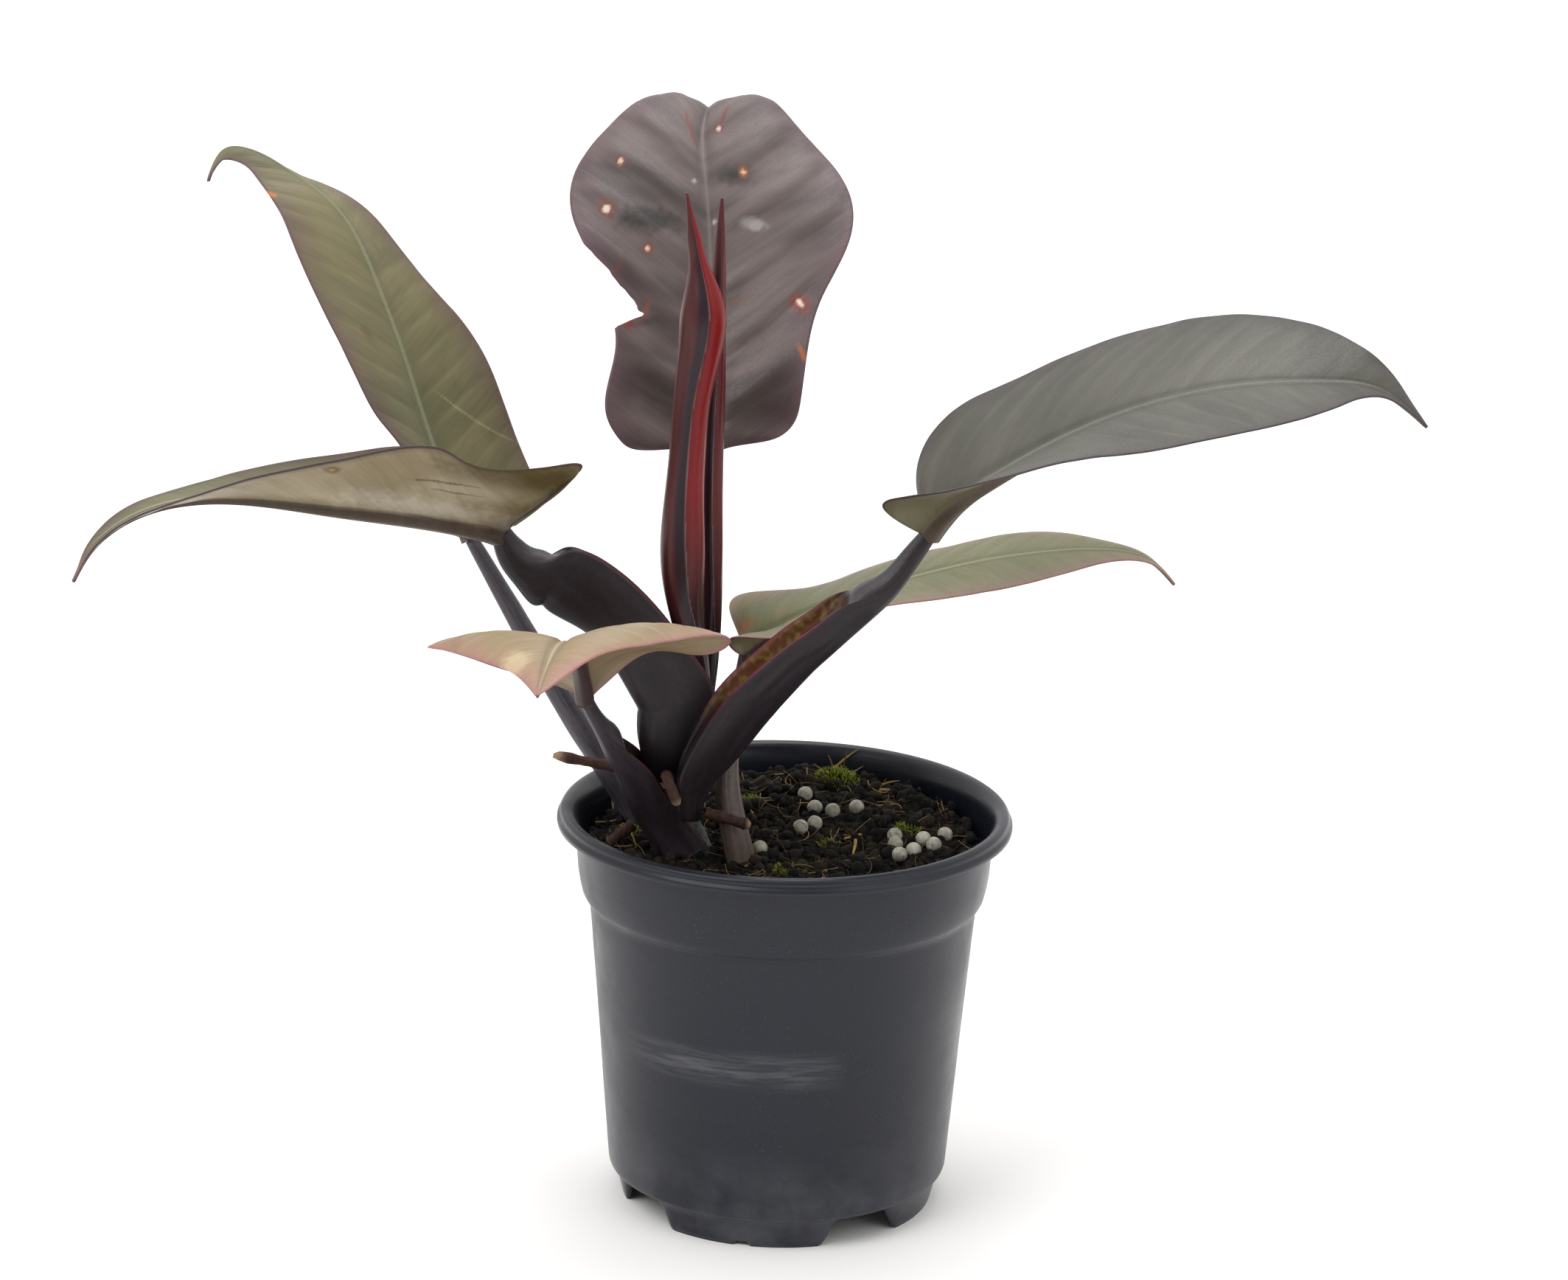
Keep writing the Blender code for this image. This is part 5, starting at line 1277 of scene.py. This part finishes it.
def pot_floor(made_of):
    """The pot's floor: a flat plate with the drain holes cut out of it."""
    floor = write_mesh("pot_floor", *disc(*POT_FLOOR), made_of)
    cutters = []
    for number in range(DRAINS):
        ring = DRAIN_RING if number else 0.0
        angle = math.radians(DRAIN_TURN + 45 * number)
        centre = (ring * math.sin(angle), -ring * math.cos(angle))
        cutters.append(write_mesh(f"drain_{number}", *disc(DRAIN_RADIUS, 4, 13, 32, centre), made_of))
        hole = floor.modifiers.new(f"drain_{number}", "BOOLEAN")
        hole.operation = "DIFFERENCE"
        hole.solver = "EXACT"
        hole.object = cutters[-1]
    bpy.context.view_layer.update()
    drilled = bpy.data.meshes.new_from_object(floor.evaluated_get(bpy.context.evaluated_depsgraph_get()))
    floor.modifiers.clear()
    floor.data = drilled
    drilled.polygons.foreach_set("use_smooth", np.zeros(len(drilled.polygons), bool))
    for cutter in cutters:
        bpy.data.objects.remove(cutter, do_unlink=True)
    return floor


def disc(radius, low, high, sides, centre=(0, 0)):
    """Points and faces of a round plate."""
    turn = circle(sides)
    ring = np.stack((radius * np.cos(turn) + centre[0], radius * np.sin(turn) + centre[1]), axis=-1)
    grid = np.stack([np.column_stack((ring, np.full(sides, level))) for level in (low, high)])
    return with_poles(from_axis(grid)), tube_faces(2, sides)


def pot_material(settings):
    """Charcoal plastic: faint turning rings, dust specks and a scuffed band low on the wall."""
    made, tree, shader = new_material("pot plastic", 0.38, Specular_IOR_Level=0.33)
    place = object_place(tree)
    rings = grain(tree, stretched(tree, place, (2, 2, 900)), 1.0, 3, 0.6)
    specks = grain(tree, place, 1500, 3, 0.7)
    cloud = grain(tree, place, 45, 4, 0.6)
    parts = put(tree, "ShaderNodeSeparateXYZ", {0: place}).outputs
    height = parts[2]
    dust = product(tree, ranged(tree, specks, 0.62, 0.76), ranged(tree, cloud, 0.42, 0.65, 0.1, 0.6))
    low = product(tree, ranged(tree, height, 0.0, 0.03, 0.5, 0.0), ranged(tree, cloud, 0.4, 0.62))
    dust = math_node(tree, "ADD", dust, low)
    streaks = grain(tree, stretched(tree, place, (60, 60, 700)), 1.0, 3, 0.6)
    scuff = product(
        tree, ranged(tree, height, 0.0455, 0.0505), ranged(tree, height, 0.0527, 0.0577, 1.0, 0.0),
        ranged(tree, parts[1], -0.03, -0.045), ranged(tree, parts[0], 0.0183, 0.0303, 1.0, 0.0),
        ranged(tree, streaks, 0.42, 0.62, 0.1, 0.55),
    )
    dust = math_node(tree, "ADD", dust, scuff)
    feed(tree, shader.inputs["Base Color"], blended(tree, dust, settings.pot_colour, settings.dust_colour))
    tree.links.new(ranged(tree, cloud, 0.35, 0.65, 0.25, 0.4), shader.inputs["Roughness"])
    under = raised(tree, shader, rings, 0.00012, 0.35)
    raised(tree, shader, specks, 0.00006, 0.3, under)
    return made


# The stage, in metres: each light's name, place, width and power in watts, and the point they face.
LIGHTS = (
    ("key", (-0.75, -0.7, 1.15), 0.9, 9), ("fill", (1.1, -0.9, 0.9), 1.2, 4),
    ("top", (0.1, 0.5, 1.5), 0.9, 6),
)
LIT_POINT = (0, 0, 0.15)
FLOOR_REACH, FLOOR_POINTS = 8, 61
CAMERA_BEFORE, CAMERA_HEIGHT = 1.1435, 0.4858   # in front of the pot's axis, and above the floor
CAMERA_TURNS = (16.217, -0.067, 1.365)          # down, to the right and anticlockwise, in degrees
CAMERA_LENS, CAMERA_SENSOR = 104.94, 36         # focal length and sensor width, in millimetres


def stage(settings):
    """The pale floor, a soft pale surround, three area lights and the camera."""
    scene = bpy.context.scene
    scene.view_settings.view_transform = "Standard"
    stage_floor()
    scene.world = surround()
    for name, place, size, power in LIGHTS:
        lamp = bpy.data.lights.new(name, "AREA")
        lamp.shape = "DISK"
        lamp.size = size
        lamp.energy = power
        aim = unit(np.array(place) - LIT_POINT)
        side = unit(np.cross((0, 0, 1.0), aim))
        add(name, lamp).matrix_world = placed(place, (side, np.cross(aim, side), aim))
    scene.camera = camera()


def stage_floor():
    """A wide floor, lit evenly near the plant and glowing more with distance, so that it fades to white."""
    mesh = bpy.data.meshes.new("floor")
    shares = np.linspace(-1, 1, FLOOR_POINTS)
    points = flat(*np.meshgrid(shares * FLOOR_REACH, shares * FLOOR_REACH)).reshape(-1, 3)
    mesh.from_pydata(points.tolist(), [], grid_faces(FLOOR_POINTS, FLOOR_POINTS).tolist())
    mesh.polygons.foreach_set("use_smooth", np.ones(len(mesh.polygons), bool))
    made, tree, shader = new_material("floor", 0.9)
    soft = grain(tree, object_place(tree), 3, 2)
    feed(tree, shader.inputs["Base Color"], blended(tree, soft, linear("f2f1ef"), linear("f7f6f5")))
    place = put(tree, "ShaderNodeSeparateXYZ", {0: object_place(tree)}).outputs
    away = math_node(tree, "ADD", *(product(tree, axis, axis) for axis in (place[0], place[1])))
    shader.inputs["Emission Color"].default_value = (1, 1, 1, 1)
    feed(tree, shader.inputs["Emission Strength"], ranged(tree, away, 0.1, 2.5, 0.0, 0.4))
    mesh.materials.append(made)
    floor = add("floor", mesh)


def surround():
    """A white world, brighter behind the plant and above it."""
    world = bpy.data.worlds.new("surround")
    world.use_nodes = True
    tree = world.node_tree
    backdrop = tree.nodes["Background"]
    backdrop.inputs["Color"].default_value = (1, 1, 1, 1)
    ray = put(tree, "ShaderNodeTexCoord", {}).outputs["Generated"]
    towards = put(tree, "ShaderNodeSeparateXYZ", {0: ray}).outputs
    from_front = ranged(tree, towards[1], -0.95, 0.1, 0.25, 0.95)
    from_above = ranged(tree, towards[2], 0.2, 0.95, 0.0, 0.5)
    feed(tree, backdrop.inputs["Strength"], math_node(tree, "ADD", from_front, from_above))
    return world


def camera():
    """The camera in front of the plant, looking a little down."""
    lens = bpy.data.cameras.new("camera")
    lens.lens = CAMERA_LENS
    lens.sensor_width = CAMERA_SENSOR
    pitch, yaw, roll = (math.radians(angle) for angle in CAMERA_TURNS)
    forward = np.array((math.sin(yaw) * math.cos(pitch), math.cos(yaw) * math.cos(pitch), -math.sin(pitch)))
    right = unit(np.cross(forward, (0, 0, 1.0)))
    up = np.cross(right, forward)
    across = math.cos(roll) * right + math.sin(roll) * up
    upward = math.cos(roll) * up - math.sin(roll) * right
    made = add("camera", lens)
    place = from_axis((0, 0, 0)) * MM + (0, -CAMERA_BEFORE, CAMERA_HEIGHT)
    made.matrix_world = placed(place, (across, upward, -forward))
    return made


def placed(place, axes):
    """A matrix from a place and three unit axes."""
    whole = np.eye(4)
    whole[:3, :3] = np.column_stack(axes)
    whole[:3, 3] = place
    return Matrix(whole.tolist())


def stalks(settings):
    """The six leaf stalks."""
    for name in STALKS:
        stalk(settings, name)


def blades(settings):
    """The six leaf blades."""
    for name in BLADES:
        blade(settings, name)


def new_leaves(settings):
    """The two rolled new leaves."""
    for name in NEW_LEAVES:
        new_leaf(settings, name)


class PlantOperator:
    """Runs a maker with the scene's plant settings."""

    bl_options = {"REGISTER", "UNDO"}
    makes = ()

    def execute(self, context):
        for maker in self.makes:
            maker(context.scene.plant)
        return {"FINISHED"}


class PLANT_OT_stage(PlantOperator, bpy.types.Operator):
    """Add the floor, the lights and the camera"""

    bl_idname = "plant.stage"
    bl_label = "Stage"
    makes = (stage,)


class PLANT_OT_pot(PlantOperator, bpy.types.Operator):
    """Build the pot's wall, rim, feet and drained floor"""

    bl_idname = "plant.pot"
    bl_label = "Pot"
    makes = (pot,)


class PLANT_OT_mix(PlantOperator, bpy.types.Operator):
    """Build the potting mix with its crumbs"""

    bl_idname = "plant.mix"
    bl_label = "Potting mix"
    makes = (potting_mix,)


class PLANT_OT_litter(PlantOperator, bpy.types.Operator):
    """Lay fibres, straw, moss and prills on the mix"""

    bl_idname = "plant.litter"
    bl_label = "Litter, moss and prills"
    makes = (litter, moss, prills)


class PLANT_OT_stem(PlantOperator, bpy.types.Operator):
    """Build the stem and its aerial roots"""

    bl_idname = "plant.stem"
    bl_label = "Stem and roots"
    makes = (stem, roots)


class PLANT_OT_stalks(PlantOperator, bpy.types.Operator):
    """Build the six leaf stalks with their sheaths"""

    bl_idname = "plant.stalks"
    bl_label = "Leaf stalks"
    makes = (stalks,)


class PLANT_OT_blades(PlantOperator, bpy.types.Operator):
    """Build the six leaf blades"""

    bl_idname = "plant.blades"
    bl_label = "Leaf blades"
    makes = (blades,)


class PLANT_OT_new_leaves(PlantOperator, bpy.types.Operator):
    """Build the two rolled new leaves"""

    bl_idname = "plant.new_leaves"
    bl_label = "New leaves"
    makes = (new_leaves,)


OPERATORS = (PLANT_OT_stage, PLANT_OT_pot, PLANT_OT_mix, PLANT_OT_litter, PLANT_OT_stem, PLANT_OT_stalks,
             PLANT_OT_blades, PLANT_OT_new_leaves)


class PLANT_PT_panel(bpy.types.Panel):
    """The plant's settings, and a button for each piece"""

    bl_idname = "PLANT_PT_panel"
    bl_label = "Potted philodendron"
    bl_space_type = "VIEW_3D"
    bl_region_type = "UI"
    bl_category = "Plant"

    def draw(self, context):
        for key in PlantSettings.__annotations__:
            self.layout.prop(context.scene.plant, key)
        for operator in OPERATORS:
            self.layout.operator(operator.bl_idname)


def register():
    for made in (PlantSettings, *OPERATORS, PLANT_PT_panel):
        bpy.utils.register_class(made)
    bpy.types.Scene.plant = bpy.props.PointerProperty(type=PlantSettings)


def unregister():
    del bpy.types.Scene.plant
    for made in (PLANT_PT_panel, *reversed(OPERATORS), PlantSettings):
        bpy.utils.unregister_class(made)


def main():
    register()
    for operator in OPERATORS:
        group, name = operator.bl_idname.split(".")
        getattr(getattr(bpy.ops, group), name)()


if __name__ == "__main__":
    main()
